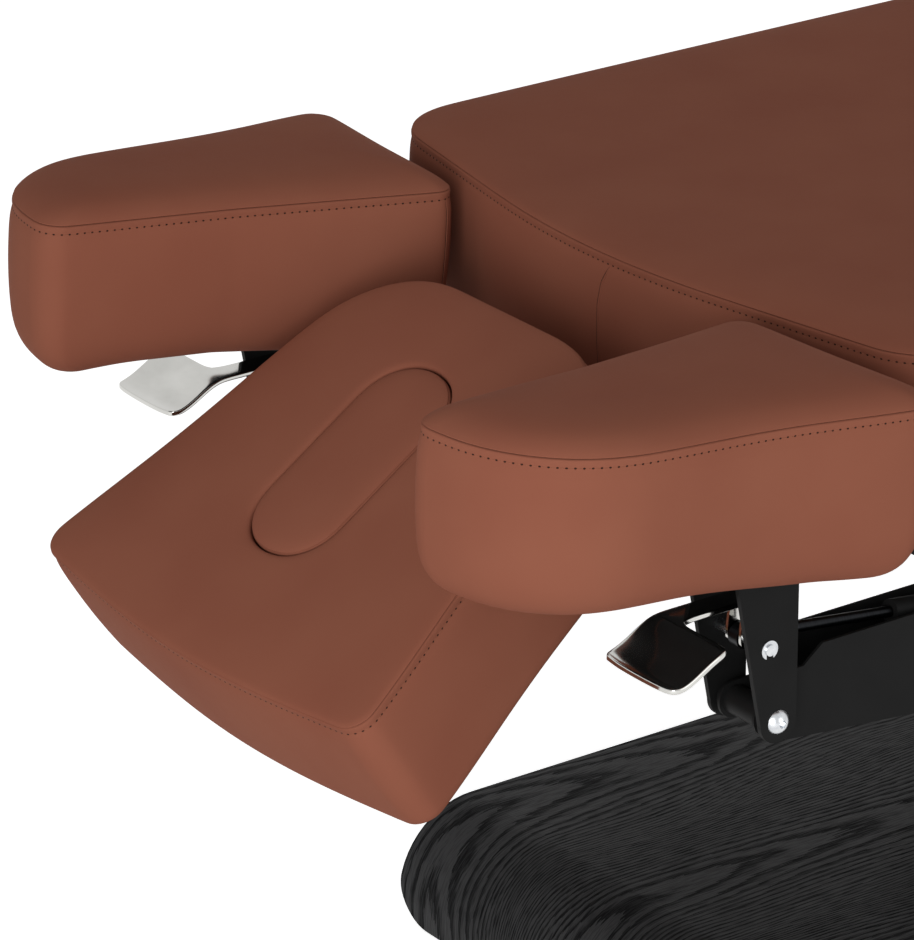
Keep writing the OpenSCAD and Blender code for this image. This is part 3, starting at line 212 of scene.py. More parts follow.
def black_stained_ash(name, across):
    """Crown-cut ash veneer, stained black and oiled: the wide pores of each ring's early wood take
    the stain and stay open, so dark flames and lines run along the sheet and over its bends."""
    material = new_material(name)
    place = add(material, "ShaderNodeTexCoord").outputs["Object"]
    axes = add(material, "ShaderNodeSeparateXYZ", {"Vector": place}).outputs
    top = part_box("base_cover")[1].z
    # Unrolled length: the sheet runs on from the top down both ends
    drop = add(material, "ShaderNodeMath", {1: axes["Z"]}, operation="SUBTRACT", values={0: top})
    end = add(material, "ShaderNodeMath", {0: axes["X"]}, operation="SIGN")
    length = add(material, "ShaderNodeMath", {0: drop, 1: end, 2: axes["X"]}, operation="MULTIPLY_ADD")
    sheet = add(material, "ShaderNodeCombineXYZ", {"X": length, "Y": axes[across]})

    # Lengths along and across the grain, in millimetres, over which each part of the figure changes
    figure = {}
    for part, along, over, detail in (("wander", 420, 160, 1.0), ("waves", 140, 22, 2.0),
                                      ("frayed", 34, 2.4, 2.0), ("pores", 24, 1.5, 2.0),
                                      ("cloud", 260, 120, 2.0)):
        stretched = add(material, "ShaderNodeVectorMath", {0: sheet}, operation="MULTIPLY",
            values={1: (1 / (along * MM), 1 / (over * MM), 1)})
        figure[part] = add(material, "ShaderNodeTexNoise", {"Vector": stretched}, Scale=1.0, Detail=detail)
    wander = add(material, "ShaderNodeMath", {0: figure["wander"], 2: axes[across]},
        operation="MULTIPLY_ADD", values={1: LEAF_WANDER * MM})
    leaf = add(material, "ShaderNodeMath", {0: wander}, operation="PINGPONG", values={1: LEAF_W / 2 * MM})
    # Height in the log: rises with the square of the way from the crown, and slowly along the pith
    square = add(material, "ShaderNodeMath", {0: leaf}, operation="POWER", values={1: 2.0})
    pith = add(material, "ShaderNodeMath", {0: length}, operation="MULTIPLY", values={1: PITH_SLOPE})
    height = add(material, "ShaderNodeMath", {0: square, 2: pith}, operation="MULTIPLY_ADD",
        values={1: 1 / (2 * CROWN_R * MM)})
    for part, depth in (("waves", RING_WAVES), ("frayed", RING_FRAY)):
        height = add(material, "ShaderNodeMath", {0: figure[part], 2: height}, operation="MULTIPLY_ADD",
            values={1: depth * MM})
    rings = add(material, "ShaderNodeMath", {0: height}, operation="DIVIDE", values={1: RING_W * MM})
    ring_share = add(material, "ShaderNodeMath", {0: rings}, operation="FRACT")
    early = add(material, "ShaderNodeMapRange", {"Value": ring_share}, interpolation_type="SMOOTHSTEP",
        values={"From Min": 0.62, "From Max": 0.1, "To Min": 0.0, "To Max": 1.0})
    # Pores: short dashes along the grain, open in the early wood and fewer in the late
    pores = add(material, "ShaderNodeMapRange", {"Value": figure["pores"]},
        values={"From Min": 0.44, "From Max": 0.6})
    dense = add(material, "ShaderNodeMath", {0: early}, operation="MULTIPLY_ADD",
        values={1: 0.5, 2: 0.25})
    dashes = add(material, "ShaderNodeMath", {0: pores, 1: dense}, operation="MULTIPLY")
    open_pores = add(material, "ShaderNodeMath", {0: early, 2: dashes}, operation="MULTIPLY_ADD",
        values={1: 0.5})
    # The stain takes unevenly over a leaf, and sinks in darkest where the pores are open
    cloud = add(material, "ShaderNodeMath", {0: figure["cloud"]}, operation="MULTIPLY_ADD",
        values={1: 0.3, 2: 0.46})
    tone = add(material, "ShaderNodeMath", {0: open_pores, 2: cloud}, operation="MULTIPLY_ADD",
        values={1: -0.6})
    colour = add(material, "ShaderNodeValToRGB", {"Fac": tone},
        stops=[(0.08, "#080809"), (0.36, "#1A1A1B"), (0.62, "#39393A")])
    sheen = add(material, "ShaderNodeMapRange", {"Value": open_pores},
        values={"To Min": 0.42, "To Max": 0.75})
    bump = add(material, "ShaderNodeBump", {"Height": open_pores}, invert=True,
        Strength=0.6, Distance=0.3 * MM)
    shader = add(material, "ShaderNodeBsdfPrincipled",
        {"Base Color": colour, "Roughness": sheen, "Normal": bump}, values={"Specular IOR Level": 0.07})
    add(material, "ShaderNodeOutputMaterial", {"Surface": shader})
    return material


def brushed_metal(name, dark, pale, low, high, waves, depth):
    """A bare metal whose tool marks or plating show as a faint drawn-out pattern: the reflections
    stay clear along the marks and blur a little across them."""
    material = new_material(name)
    place = add(material, "ShaderNodeTexCoord").outputs["Object"]
    stretched = add(material, "ShaderNodeVectorMath", {0: place}, operation="MULTIPLY",
        values={1: [1 / (wave * MM) for wave in waves]})
    marks = add(material, "ShaderNodeTexNoise", {"Vector": stretched}, Scale=1.0, Detail=3.0)
    colour = add(material, "ShaderNodeValToRGB", {"Fac": marks}, stops=[(0.3, dark), (0.7, pale)])
    gloss = add(material, "ShaderNodeMapRange", {"Value": marks}, values={"To Min": low, "To Max": high})
    bump = add(material, "ShaderNodeBump", {"Height": marks}, Strength=0.2, Distance=depth * MM)
    shader = add(material, "ShaderNodeBsdfPrincipled",
        {"Base Color": colour, "Roughness": gloss, "Normal": bump}, Metallic=1.0)
    add(material, "ShaderNodeOutputMaterial", {"Surface": shader})
    return material


def birch_plywood():
    """Birch plywood, sawn and sanded: pale faces with a quiet long figure, and edges where the plies
    show as thin bands."""
    material = new_material("birch_plywood")
    source = add(material, "ShaderNodeTexCoord").outputs
    stretched = add(material, "ShaderNodeVectorMath", {0: source["Object"]}, operation="MULTIPLY",
        values={1: (1 / (120 * MM), 1 / (7 * MM), 1 / (40 * MM))})
    figure = add(material, "ShaderNodeTexNoise", {"Vector": stretched}, Scale=1.0, Detail=3.0)
    # At a scale of 1 the bands of a wave texture lie pi / 10 apart, and a ply is 1.4 mm thick
    plies = add(material, "ShaderNodeTexWave", {"Vector": source["Object"]}, bands_direction="Z",
        Scale=math.pi / 10 / (1.4 * MM), Distortion=0.4, values={"Detail Scale": 200.0})
    face = add(material, "ShaderNodeValToRGB", {"Fac": figure}, stops=[(0.3, "#B99263"), (0.7, "#CDAA7C")])
    edge = add(material, "ShaderNodeValToRGB", {"Fac": plies.outputs["Fac"]},
        stops=[(0.3, "#8A6239"), (0.6, "#C49C6C")])
    normal = add(material, "ShaderNodeSeparateXYZ", {"Vector": source["Normal"]})
    upright = add(material, "ShaderNodeMath", {0: normal.outputs["Z"]}, operation="ABSOLUTE")
    on_face = add(material, "ShaderNodeMath", {0: upright}, operation="GREATER_THAN", values={1: 0.5})
    colour = add(material, "ShaderNodeMixRGB", {"Fac": on_face, "Color1": edge, "Color2": face})
    bump = add(material, "ShaderNodeBump", {"Height": figure}, Strength=0.3, Distance=0.2 * MM)
    shader = add(material, "ShaderNodeBsdfPrincipled", {"Base Color": colour, "Normal": bump},
        Roughness=0.62, values={"Specular IOR Level": 0.35})
    add(material, "ShaderNodeOutputMaterial", {"Surface": shader})
    return material


def dull_skin(name, dark, pale, roughness, texture, depth):
    """A dull surface with a fine skin of its own, such as the spark-eroded grain of a moulding, the
    fibres of a cloth or the figure of a sealed board: matt, its tone a little uneven."""
    material = new_material(name)
    place = add(material, "ShaderNodeTexCoord").outputs["Object"]
    skin = add(material, "ShaderNodeTexNoise", {"Vector": place}, Scale=1 / (texture * MM), Detail=2.0)
    patches = add(material, "ShaderNodeTexNoise", {"Vector": place}, Scale=1 / (45 * MM), Detail=2.0)
    colour = add(material, "ShaderNodeValToRGB", {"Fac": patches}, stops=[(0.3, dark), (0.7, pale)])
    bump = add(material, "ShaderNodeBump", {"Height": skin}, Strength=0.4, Distance=depth * MM)
    shader = add(material, "ShaderNodeBsdfPrincipled", {"Base Color": colour, "Normal": bump},
        Roughness=roughness, values={"Specular IOR Level": 0.3})
    add(material, "ShaderNodeOutputMaterial", {"Surface": shader})
    return material


LEATHERETTE = leatherette("embossed_pu_leatherette", "#8D5543", "#925A47")
SEAM_THREAD = thread("bonded_polyester_thread", "#84503D", "#96604A")
# Painted shade in the sewing: the thread as it shows down a needle hole and where one panel goes under another,
# drawn nearly black, and a painted shadow deep between two panels in the seam's valley
HOLE_AND_CREASE_SHADE = thread("needle_hole_shadow", "#2A1812", "#38211A")
SEAM_SHADOW = thread("painted_seam_shadow", "#44261D", "#523025")
POWDER_COAT = powder_coat()
BLACK_ASH = black_stained_ash("black_stained_ash", "Y")
ASH_PANEL = black_stained_ash("black_stained_ash_panel", "Z")
# Stainless sheet, pressed and mirror polished on a mop: clear reflections with the mop's slow waves
POLISHED = brushed_metal("mirror_polished_stainless", "#B9B8B4", "#C8C7C3", 0.06, 0.12, (30, 60, 30), 0.06)
# Carbon steel, ground and hard chromed: bright, with a fine turned haze round the rod
CHROMED = brushed_metal("ground_chromed_steel", "#C9CBCD", "#DADBDD", 0.1, 0.2, (1.5, 12, 12), 0.02)
# Steel rod of a gas spring, nitrided and polished: dark grey and dense, with a dull gleam
NITRIDED = brushed_metal("nitrided_steel_rod", "#1D1E20", "#2A2B2D", 0.28, 0.4, (1.5, 12, 12), 0.02)
# Steel in bright zinc plating: pale and slightly cloudy
ZINC = brushed_metal("bright_zinc_plating", "#BFC2C6", "#D4D6D8", 0.2, 0.34, (6, 6, 6), 0.05)
# Aluminium, extruded upright and silver anodised: soft, with fine die lines
ALUMINIUM = brushed_metal("anodised_aluminium", "#8F9295", "#A3A6A9", 0.32, 0.45, (0.9, 0.9, 300), 0.05)
BIRCH = birch_plywood()
# Spun-bonded polypropylene cloth, black, stapled over a cushion's underside: dull and faintly speckled
NON_WOVEN = dull_skin("black_non_woven_cloth", "#0E0E0F", "#161617", 0.9, 0.9, 0.1)
# Plywood rolled with black sealer: dull, with the figure of the wood just felt
SEALED_BOARD = dull_skin("black_sealed_plywood", "#131314", "#1B1B1C", 0.6, 2.5, 0.08)
# Injection-moulded ABS, and compression-moulded rubber
BLACK_PLASTIC = dull_skin("moulded_black_abs", "#161617", "#1F1F20", 0.52, 0.7, 0.06)
RUBBER = dull_skin("moulded_black_rubber", "#101010", "#1A1A19", 0.82, 1.4, 0.12)

SLOT_MATERIAL = {
    "leatherette": LEATHERETTE, "black_steel": POWDER_COAT, "black_ash": BLACK_ASH,
    "polished_steel": CHROMED, "zinc": ZINC, "plywood": BIRCH, "black_plastic": BLACK_PLASTIC,
    "rubber": RUBBER, "alloy": ALUMINIUM,
}
NODE_MATERIAL = {
    "side_panels": ASH_PANEL, "arm_board_left": SEALED_BOARD, "arm_board_right": SEALED_BOARD,
    "strut_rod_left": NITRIDED, "strut_rod_right": NITRIDED, "headrest_strut_rod": NITRIDED,
}


def finish_cad_nodes():
    """Every carried-over node gets the material of its slot in the record, or its own."""
    slots = {row["node"]: row["material_slot"] for row in frame["record"]["subparts"]}
    for name, node in frame["nodes"].items():
        node.data.materials.clear()
        node.data.materials.append(NODE_MATERIAL.get(name, SLOT_MATERIAL[slots[name]]))


# Outlines: millimetres, anticlockwise, each corner given as x, y, radius, how far the edge after it
# is drawn in, and that edge's steps

def unit(v):
    return v / np.linalg.norm(v)


def rounded_corner(corners, i, steps):
    """Points round corner i of a list of corners."""
    p, a, b = (np.array(corners[k % len(corners)][:2], float) for k in (i, i - 1, i + 1))
    u, v = unit(a - p), unit(b - p)
    half = math.acos(np.clip(u @ v, -1, 1)) / 2
    r = corners[i][2]
    turn = u[0] * v[1] - u[1] * v[0]
    middle = p + unit(u + v) * r / math.sin(half)
    start = p + u * r / math.tan(half) - middle
    first = math.atan2(start[1], start[0])
    sweep = (1 if turn < 0 else -1) * (math.pi - 2 * half)
    angles = [first + sweep * k / steps for k in range(steps + 1)]
    return [middle + r * np.array([math.cos(angle), math.sin(angle)]) for angle in angles]


def outline(corners, arc_steps):
    """Closed outline through rounded corners, its edges drawn in between them."""
    arcs = [rounded_corner(corners, i, arc_steps) for i in range(len(corners))]
    points = []
    for i, arc in enumerate(arcs):
        points += arc
        a, b = arc[-1], arcs[(i + 1) % len(arcs)][0]
        side = unit(b - a)
        inward = np.array([-side[1], side[0]])
        draw, steps = corners[i][3], corners[i][4]
        # An edge that is drawn in leaves its corners gently, and one that bows out is a plain arc
        power = 2 if draw > 0 else 1
        points += [a + (b - a) * k / steps + inward * draw * math.sin(math.pi * k / steps) ** power
                   for k in range(1, steps)]
    return np.array(points)


def normals(points):
    """Outward unit normals of a closed anticlockwise outline."""
    along = np.roll(points, -1, 0) - np.roll(points, 1, 0)
    along /= np.linalg.norm(along, axis=1)[:, None]
    return np.stack([along[:, 1], -along[:, 0]], 1)


def grown(points, by):
    return points + normals(points) * by


def spine_points(points, spine):
    """Nearest point of the spine for each point."""
    a, b = (np.array(end, float) for end in spine)
    t = np.clip((points - a) @ (b - a) / ((b - a) @ (b - a)), 0, 1)
    return a + np.outer(t, b - a)


def drawn(points, spine, by):
    """Outline drawn in by a distance towards its spine."""
    inward = spine_points(points, spine) - points
    return points + inward / np.linalg.norm(inward, axis=1)[:, None] * by


def ring(points, height):
    return np.column_stack([points, np.full(len(points), height)])


# Cushions

# Shares of the hem's radius: inwards, and up from the underside
HEM_SHARES = [(1, 0), (0.62, 0.08), (0.29, 0.29), (0.08, 0.62), (0, 1)]
# Shares of the band's height above its hem, and of its swelling
SWELL_SHARES = [(0.25, 0.75), (0.5, 1), (0.78, 0.85)]
# Heights and outward offsets round the sewn seam: the sunk row of topstitching, the turned
# allowance that lifts the strip above it, and the hair-thin valley where the panels meet
STITCH_DROP = 7.5
SEAM_PROFILE = [(-15, 1.4), (-10.5, 0.6), (-STITCH_DROP, -0.4), (-5, 0.3), (-2, 0.5), (-0.5, 0.1),
                (0, -2.2), (0.5, -0.1), (1.4, -0.7)]
# Shares of the way from the seam to the middle, and of the crown's height
MAIN_CROWN_SHARES = [(0.008, 0.22), (0.016, 0.32), (0.035, 0.46), (0.07, 0.66), (0.14, 0.85),
                     (0.3, 0.96), (0.6, 1)]
ARM_CROWN_SHARES = [(0.022, 0.14), (0.045, 0.25), (0.1, 0.44), (0.2, 0.68), (0.36, 0.86), (0.56, 0.96),
                    (0.8, 1)]
HEAD_CROWN_SHARES = [(0.014, 0.2), (0.03, 0.28), (0.07, 0.38), (0.15, 0.52), (0.3, 0.72), (0.5, 0.88),
                     (0.72, 0.97), (0.9, 1), (0.97, 0.99)]
PLUG_CROWN_SHARES = [(0.1, 0.5), (0.28, 0.78), (0.52, 0.93), (0.8, 1)]
# Beside the edges of a board's recess: in over its ceiling, down and up its wall, out past its mouth
RECESS_IN = 4
RECESS_DOWN = 2
RECESS_UP = 1.5
RECESS_OUT = 3
# First and last places of a long side in the outlines of the main cushion, the arms and the plug
MAIN_SIDE = (4, 30)
ARM_SIDE = (15, 35)
PLUG_SIDE = (3, 17)
# Levels of subdivision of every cushion, and the distance within which points are one
LEVELS = 2
MERGE_WITHIN = 0.01


def recess(board, depth, spine):
    """Rings of the recess where a cushion's board lies, from its ceiling to its mouth."""
    ceiling = -depth + BOARD_T + SEAT_GAP
    return [ring(drawn(board, spine, RECESS_IN), ceiling), ring(board, ceiling),
            ring(board, ceiling - RECESS_DOWN), ring(board, -depth + RECESS_UP), ring(board, -depth),
            ring(drawn(board, spine, -RECESS_OUT), -depth)]


def band(points, depth, hem_r, spine):
    """Rings of a hem, a swelling band and the sewn seam."""
    rings = [ring(drawn(points, spine, hem_r * s), -depth + hem_r * h) for s, h in HEM_SHARES]
    rings += [ring(grown(points, PAD_SWELL * s), (depth - hem_r) * (h - 1)) for h, s in SWELL_SHARES]
    return rings + [ring(grown(points, out), height) for height, out in SEAM_PROFILE]


def crowned(points, towards, rise, shares, start=0):
    """Rings from an outline towards another one, or towards its spine, as they rise to the crown."""
    return [ring(points + (towards - points) * t, start + rise * h) for t, h in shares]


def patch(loop, low, high):
    """Grid of points that fills a closed loop, given the first and last places of a long side."""
    n = len(loop)
    long = high - low
    short = n // 2 - long
    side = [loop[(low + k) % n] for k in range(long + 1)]
    across = [loop[(high + k) % n] for k in range(short + 1)]
    back = [loop[(high + short + long - k) % n] for k in range(long + 1)]
    first = [loop[(low - k) % n] for k in range(short + 1)]
    grid = np.zeros((long + 1, short + 1, 3))
    for i in range(long + 1):
        for j in range(short + 1):
            u, v = i / long, j / short
            grid[i, j] = ((1 - v) * side[i] + v * back[i] + (1 - u) * first[j] + u * across[j]
                          - (1 - u) * (1 - v) * side[0] - u * (1 - v) * side[-1]
                          - (1 - u) * v * back[0] - u * v * back[-1])
    return grid


def select_only(piece):
    bpy.ops.object.select_all(action="DESELECT")
    piece.select_set(True)
    bpy.context.view_layer.objects.active = piece


def mesh_object(name, points, faces, place=Matrix.Identity(4)):
    """A new mesh object, its points in millimetres moved by place into the frame."""
    mesh = bpy.data.meshes.new(name)
    mesh.from_pydata([place @ Vector(p) * MM for p in points], [], faces)
    mesh.validate()
    piece = bpy.data.objects.new(name, mesh)
    bpy.context.scene.collection.objects.link(piece)
    return piece


def turned_outwards(piece):
    select_only(piece)
    bpy.ops.object.mode_set(mode="EDIT")
    bpy.ops.mesh.select_all(action="SELECT")
    bpy.ops.mesh.remove_doubles(threshold=MERGE_WITHIN * MM)
    bpy.ops.mesh.normals_make_consistent(inside=False)
    bpy.ops.object.mode_set(mode="OBJECT")


def lofted(name, rings, place=Matrix.Identity(4), long_side=None, closed=False):
    """Skin through rings of points, closed on itself or with its two ends filled by grids."""
    n = len(rings[0])
    points = [p for r in rings for p in r]
    faces = []
    for k in range(len(rings) if closed else len(rings) - 1):
        a, b = k * n, (k + 1) % len(rings) * n
        faces += [(a + i, a + (i + 1) % n, b + (i + 1) % n, b + i) for i in range(n)]
    if not closed:
        for loop, flip in ((rings[0], True), (rings[-1], False)):
            grid = patch(loop, *long_side)
            start = len(points)
            points += [p for row in grid for p in row]
            wide = grid.shape[1]
            for i in range(grid.shape[0] - 1):
                for j in range(wide - 1):
                    a = start + i * wide + j
                    face = (a, a + wide, a + wide + 1, a + 1)
                    faces.append(face[::-1] if flip else face)
    piece = mesh_object(name, points, faces, place)
    turned_outwards(piece)
    return piece


def modified(piece, kind, **settings):
    """Adds a modifier with its settings and applies it."""
    modifier = piece.modifiers.new(kind.lower(), kind)
    for key, value in settings.items():
        setattr(modifier, key, value)
    select_only(piece)
    bpy.ops.object.modifier_apply(modifier=modifier.name)


def subdivided(piece):
    modified(piece, "SUBSURF", levels=LEVELS, render_levels=LEVELS)
    bpy.ops.object.shade_smooth()


def cushion(name, points, depth, hem_r, crown, shares, spine, place, long_side, board=None, settled=None):
    """A closed cushion: hem, band, seam and crown, with a recess below where its board lies in it."""
    inside = [] if board is None else recess(board, depth, spine)
    outside = band(points, depth, hem_r, spine)
    outside += crowned(points, spine_points(points, spine), crown, shares)
    if settled:
        outside = [settled(r) for r in outside]
    piece = lofted(name, inside + outside, place, long_side)
    subdivided(piece)
    return piece


def dress(piece, node):
    """The piece stands for a cushion node, on its body and in its finish."""
    piece.data.materials.append(LEATHERETTE)
    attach(piece, NODE_BODY[node])
    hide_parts(node)


# Sewing

STITCH_PITCH = 7.2
STITCH_L = 5.0
STITCH_W = 1.1
STITCH_SINK = 0.25
HOLE_L = 2.6
HOLE_W = 2.0
HOLE_RISE = 0.35
HOLE_SINK = 0.05
# How far inside the outline the topstitching and the seam's painted shadow line run, and the line's height above
# it
STITCH_IN = 0.3
SEAM_IN = 1.2
SEAM_UP = 0.2


def pillow_shape():
    """Corners and faces of one small pillow, with which stitches and needle holes are drawn."""
    bpy.ops.object.select_all(action="DESELECT")
    bpy.ops.mesh.primitive_uv_sphere_add(segments=6, ring_count=4, radius=1)
    seed = bpy.context.object
    corners = np.array([tuple(vertex.co) for vertex in seed.data.vertices])
    faces = [tuple(face.vertices) for face in seed.data.polygons]
    bpy.data.objects.remove(seed)
    return corners, faces


PILLOW, PILLOW_FACES = pillow_shape()


def even_path(points, pitch, closed):
    """Points at an even pitch along a curve."""
    loop = np.vstack([points, points[:1]]) if closed else points
    reach = np.concatenate([[0], np.cumsum(np.linalg.norm(np.diff(loop, axis=0), axis=1))])
    count = max(2, round(reach[-1] / pitch))
    stations = np.arange(count if closed else count + 1) * reach[-1] / count
    return np.stack([np.interp(stations, reach, loop[:, axis]) for axis in range(loop.shape[1])], 1)


def smooth_loop(points):
    """A closed outline with its corners cut, as a cushion's subdivision does."""
    for _ in range(LEVELS):
        ahead = np.roll(points, -1, 0)
        points = np.stack([points * 0.75 + ahead * 0.25, points * 0.25 + ahead * 0.75], 1)
        points = points.reshape(-1, points.shape[2])
    return points


def on_surface(piece, point):
    """The nearest place on a piece, in millimetres, and the normal there."""
    _, spot, normal, _ = piece.closest_point_on_mesh(point * MM)
    return spot / MM, normal


def sewn_on(piece, node):
    """Sewing moves with its cushion."""
    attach(piece, NODE_BODY[node])


def topstitched(name, carrier, path, place, node):
    """A closed row of stitches just off the carrier's surface, each with a needle hole at its start: a small dark
    pillow, painted shade.
    """
    stations = [place @ Vector(p) for p in even_path(path, STITCH_PITCH, closed=True)]
    points, faces, finishes = [], [], []
    for i, here in enumerate(stations):
        ahead = stations[(i + 1) % len(stations)]
        along = (ahead - here).normalized()
        for middle, size, sink, finish in (
                ((here + ahead) / 2, (STITCH_L / 2, STITCH_W / 2, STITCH_W / 2), STITCH_SINK, 0),
                (here, (HOLE_L / 2, HOLE_W / 2, HOLE_RISE), HOLE_SINK, 1)):
            spot, normal = on_surface(carrier, middle)
            across = normal.cross(along).normalized()
            forward = across.cross(normal).normalized()
            turn = np.array([forward, across, normal]).T
            start = len(points)
            points += list((PILLOW * size) @ turn.T + np.array(spot - normal * sink))
            faces += [tuple(start + k for k in face) for face in PILLOW_FACES]
            finishes += [finish] * len(PILLOW_FACES)
    piece = mesh_object(name, points, faces)
    piece.data.materials.append(SEAM_THREAD)
    piece.data.materials.append(HOLE_AND_CREASE_SHADE)
    piece.data.polygons.foreach_set("material_index", finishes)
    piece.data.polygons.foreach_set("use_smooth", [True] * len(finishes))
    sewn_on(piece, node)


# A seam down a band: one panel's folded lip, and the dark line, painted shade, where the other goes under it, each
# with the offset of its middle across the seam, its half width and its height
FOLD_W = 2.2
FOLD_PARTS = (("lip", 0.6, FOLD_W / 2, 0.55, LEATHERETTE),
              ("line", 0.35 - FOLD_W / 2, 0.4, 0.22, HOLE_AND_CREASE_SHADE))
FOLD_PITCH = 4
FOLD_SIDES = 8
# Stations over which a fold's ends run out, and what is left of it at the last one
FOLD_RUN_OUT = 3
FOLD_LEFT = 0.1


def joined_panels(name, carrier, path, place, node):
    """The folded edge of a seam that runs down a band: a low rounded lip with a dark line of painted shade beside
    it.
    """
    stations = even_path(np.array(path, float), FOLD_PITCH, closed=False)
    world = [on_surface(carrier, place @ Vector(p)) for p in stations]
    last = len(world) - 1
    for part, offset, half_w, rise, material in FOLD_PARTS:
        points, faces = [], []
        for i, (spot, normal) in enumerate(world):
            along = (world[min(i + 1, last)][0] - world[max(i - 1, 0)][0]).normalized()
            across = normal.cross(along).normalized()
            share = min(1, i / FOLD_RUN_OUT, (last - i) / FOLD_RUN_OUT) * (1 - FOLD_LEFT) + FOLD_LEFT
            for k in range(FOLD_SIDES):
                angle = math.tau * k / FOLD_SIDES
                points.append(spot + across * (offset + half_w * share * math.cos(angle))
                              + normal * rise * share * math.sin(angle))
        for start in range(0, last * FOLD_SIDES, FOLD_SIDES):
            for k in range(FOLD_SIDES):
                a, b = start + k, start + (k + 1) % FOLD_SIDES
                faces.append((a, b, b + FOLD_SIDES, a + FOLD_SIDES))
        faces += [tuple(range(FOLD_SIDES))[::-1], tuple(last * FOLD_SIDES + k for k in range(FOLD_SIDES))]
        piece = mesh_object(f"{name}_{part}", points, faces)
        turned_outwards(piece)
        bpy.ops.object.shade_smooth()
        piece.data.materials.append(material)
        sewn_on(piece, node)


LINE_W = 0.9
LINE_RISE = 0.3
LINE_PITCH = 5
LINE_SIDES = 6


def seam_shadow_line(name, carrier, path, place, node):
    """A painted shadow along the hairline where the top panel and the band meet: a thin dark closed loop laid in
    the valley.
    """
    world = [on_surface(carrier, place @ Vector(p)) for p in even_path(path, LINE_PITCH, closed=True)]
    angles = [math.tau * k / LINE_SIDES for k in range(LINE_SIDES)]
    rings = []
    for i, (spot, normal) in enumerate(world):
        along = (world[(i + 1) % len(world)][0] - world[i - 1][0]).normalized()
        across = normal.cross(along).normalized()
        rings.append([spot + across * LINE_W / 2 * math.cos(angle) + normal * LINE_RISE * math.sin(angle)
                      for angle in angles])
    piece = lofted(name, rings, closed=True)
    bpy.ops.object.shade_smooth()
    piece.data.materials.append(SEAM_SHADOW)
    sewn_on(piece, node)


def sewn_round(prefix, carrier, points, place, node, settled=None):
    """What runs round a cushion's band: its topstitching, and the painted shadow line where its panels meet."""
    stitches = ring(smooth_loop(grown(points, -STITCH_IN)), -STITCH_DROP)
    seam = ring(smooth_loop(grown(points, -SEAM_IN)), SEAM_UP)
    if settled:
        stitches, seam = settled(stitches), settled(seam)
    topstitched(f"{prefix}_topstitch", carrier, stitches, place, node)
    seam_shadow_line(f"{prefix}_seam", carrier, seam, place, node)


# Main cushion

MAIN_PLACE = Matrix.Translation((HEAD_SEAM_X, 0, SEAM_Z))
# The head end's panels are joined a little off its middle: the join's way down from the topstitching
MAIN_JOIN = [(-4, -26, -STITCH_DROP), (-4, -16, -26), (-4, -11, -48), (-4, -10, -80), (-4, -10, -128)]


def make_main_cushion():
    half = MAIN_W / 2
    slope = math.atan2(MAIN_BOW, half)
    shoulder = MAIN_BOW - MAIN_BOW_R * (1 / math.cos(slope) - 1)
    points = outline([
        (shoulder, -half, MAIN_HEAD_R, PAD_DRAW, 18), (MAIN_LEN, -half, MAIN_FOOT_R, 0, 16),
        (MAIN_LEN, half, MAIN_FOOT_R, PAD_DRAW, 18), (shoulder, half, MAIN_HEAD_R, 0, 4),
        (shoulder - MAIN_BOW, 0, MAIN_BOW_R, 0, 4)], 8)
    spine = ((half, 0), (MAIN_LEN - half, 0))
    node = "main_cushion"
    piece = cushion(f"{node}_cover", points, PAD_DEPTH, HEM_R, PAD_CROWN, MAIN_CROWN_SHARES, spine,
        MAIN_PLACE, MAIN_SIDE)
    dress(piece, node)
    sewn_round(node, piece, points, MAIN_PLACE, node)
    joined_panels("main_head_join", piece, MAIN_JOIN, MAIN_PLACE, node)


# Arm cushions

ARM_LEN = 423
ARM_W = 248
ARM_IN = 205
ARM_PAST = 32
ARM_RISE = 4
ARM_STEP = 12
ARM_DEPTH = 142
ARM_CROWN = 20
ARM_HEM_R = 46
ARM_BOARD_IN = 58
# The foam stands proud of its board: how much higher the seam lies, how far the underside sags
# towards the foot, how far the foot end draws in, and how far the outer side fills out
ARM_FULLER = 7
ARM_SAG = 8
ARM_SHORTER = 7
ARM_WIDER = 5
# Corners: along from the head tip, across from the inner side, radius over the width, share of the
# draw of the edge after it, and that edge's steps
ARM_SHARES = [(0.943, 0, 0.08, 0.5, 6), (1, 1, 0.09, 1.5, 17), (0, 0.872, 0.5, 0, 3), (0, 0.3, 0.1, 0, 4),
              (0.42, 0.19, 0.86, 0, 4)]
ARM_SPINE_SHARES = [(0.26, 0.56), (0.74, 0.58)]
# The band is joined at the foot's inner corner: how far inwards and how far down the join runs
ARM_JOIN = [(2, STITCH_DROP), (3, 50), (3, 92)]
# A face of a cover that points further down than this belongs to its underside
UNDERSIDE_NORMAL = -0.9
MIRROR = Matrix.Scale(-1, 4, (0, 1, 0))


def arm_point(along, across):
    """A place on an arm cushion by its share of the length from the head tip and of the width."""
    return (ARM_PAST - ARM_LEN * (1 - along), ARM_IN + ARM_W * across)


def arm_place(side):
    place = (Matrix.Translation((HEAD_SEAM_X, 0, SEAM_Z - ARM_STEP))
             @ Matrix.Rotation(math.radians(ARM_RISE), 4, "Y"))
    return place if side == "left" else MIRROR @ place


def smooth_share(value, low, high):
    """0 at low and 1 at high, with a gentle start and end."""
    t = np.clip((value - low) / (high - low), 0, 1)
    return t * t * (3 - 2 * t)


def arm_settled(points):
    """Points of an arm's cover as the foam fills it and lets it sag."""
    x, y, z = points.T
    along = (x - arm_point(0, 0)[0]) / ARM_LEN
    across = (y - ARM_IN) / ARM_W
    up = smooth_share(z, -ARM_DEPTH, -ARM_DEPTH * 0.15)
    down = smooth_share(z, -ARM_DEPTH * 0.5, -ARM_DEPTH)
    return np.stack([x - ARM_SHORTER * smooth_share(along, 0.6, 1),
                     y + ARM_WIDER * smooth_share(across, 0.3, 1),
                     z + ARM_FULLER * up - ARM_SAG * down * smooth_share(along, 0.4, 0.75)], 1)


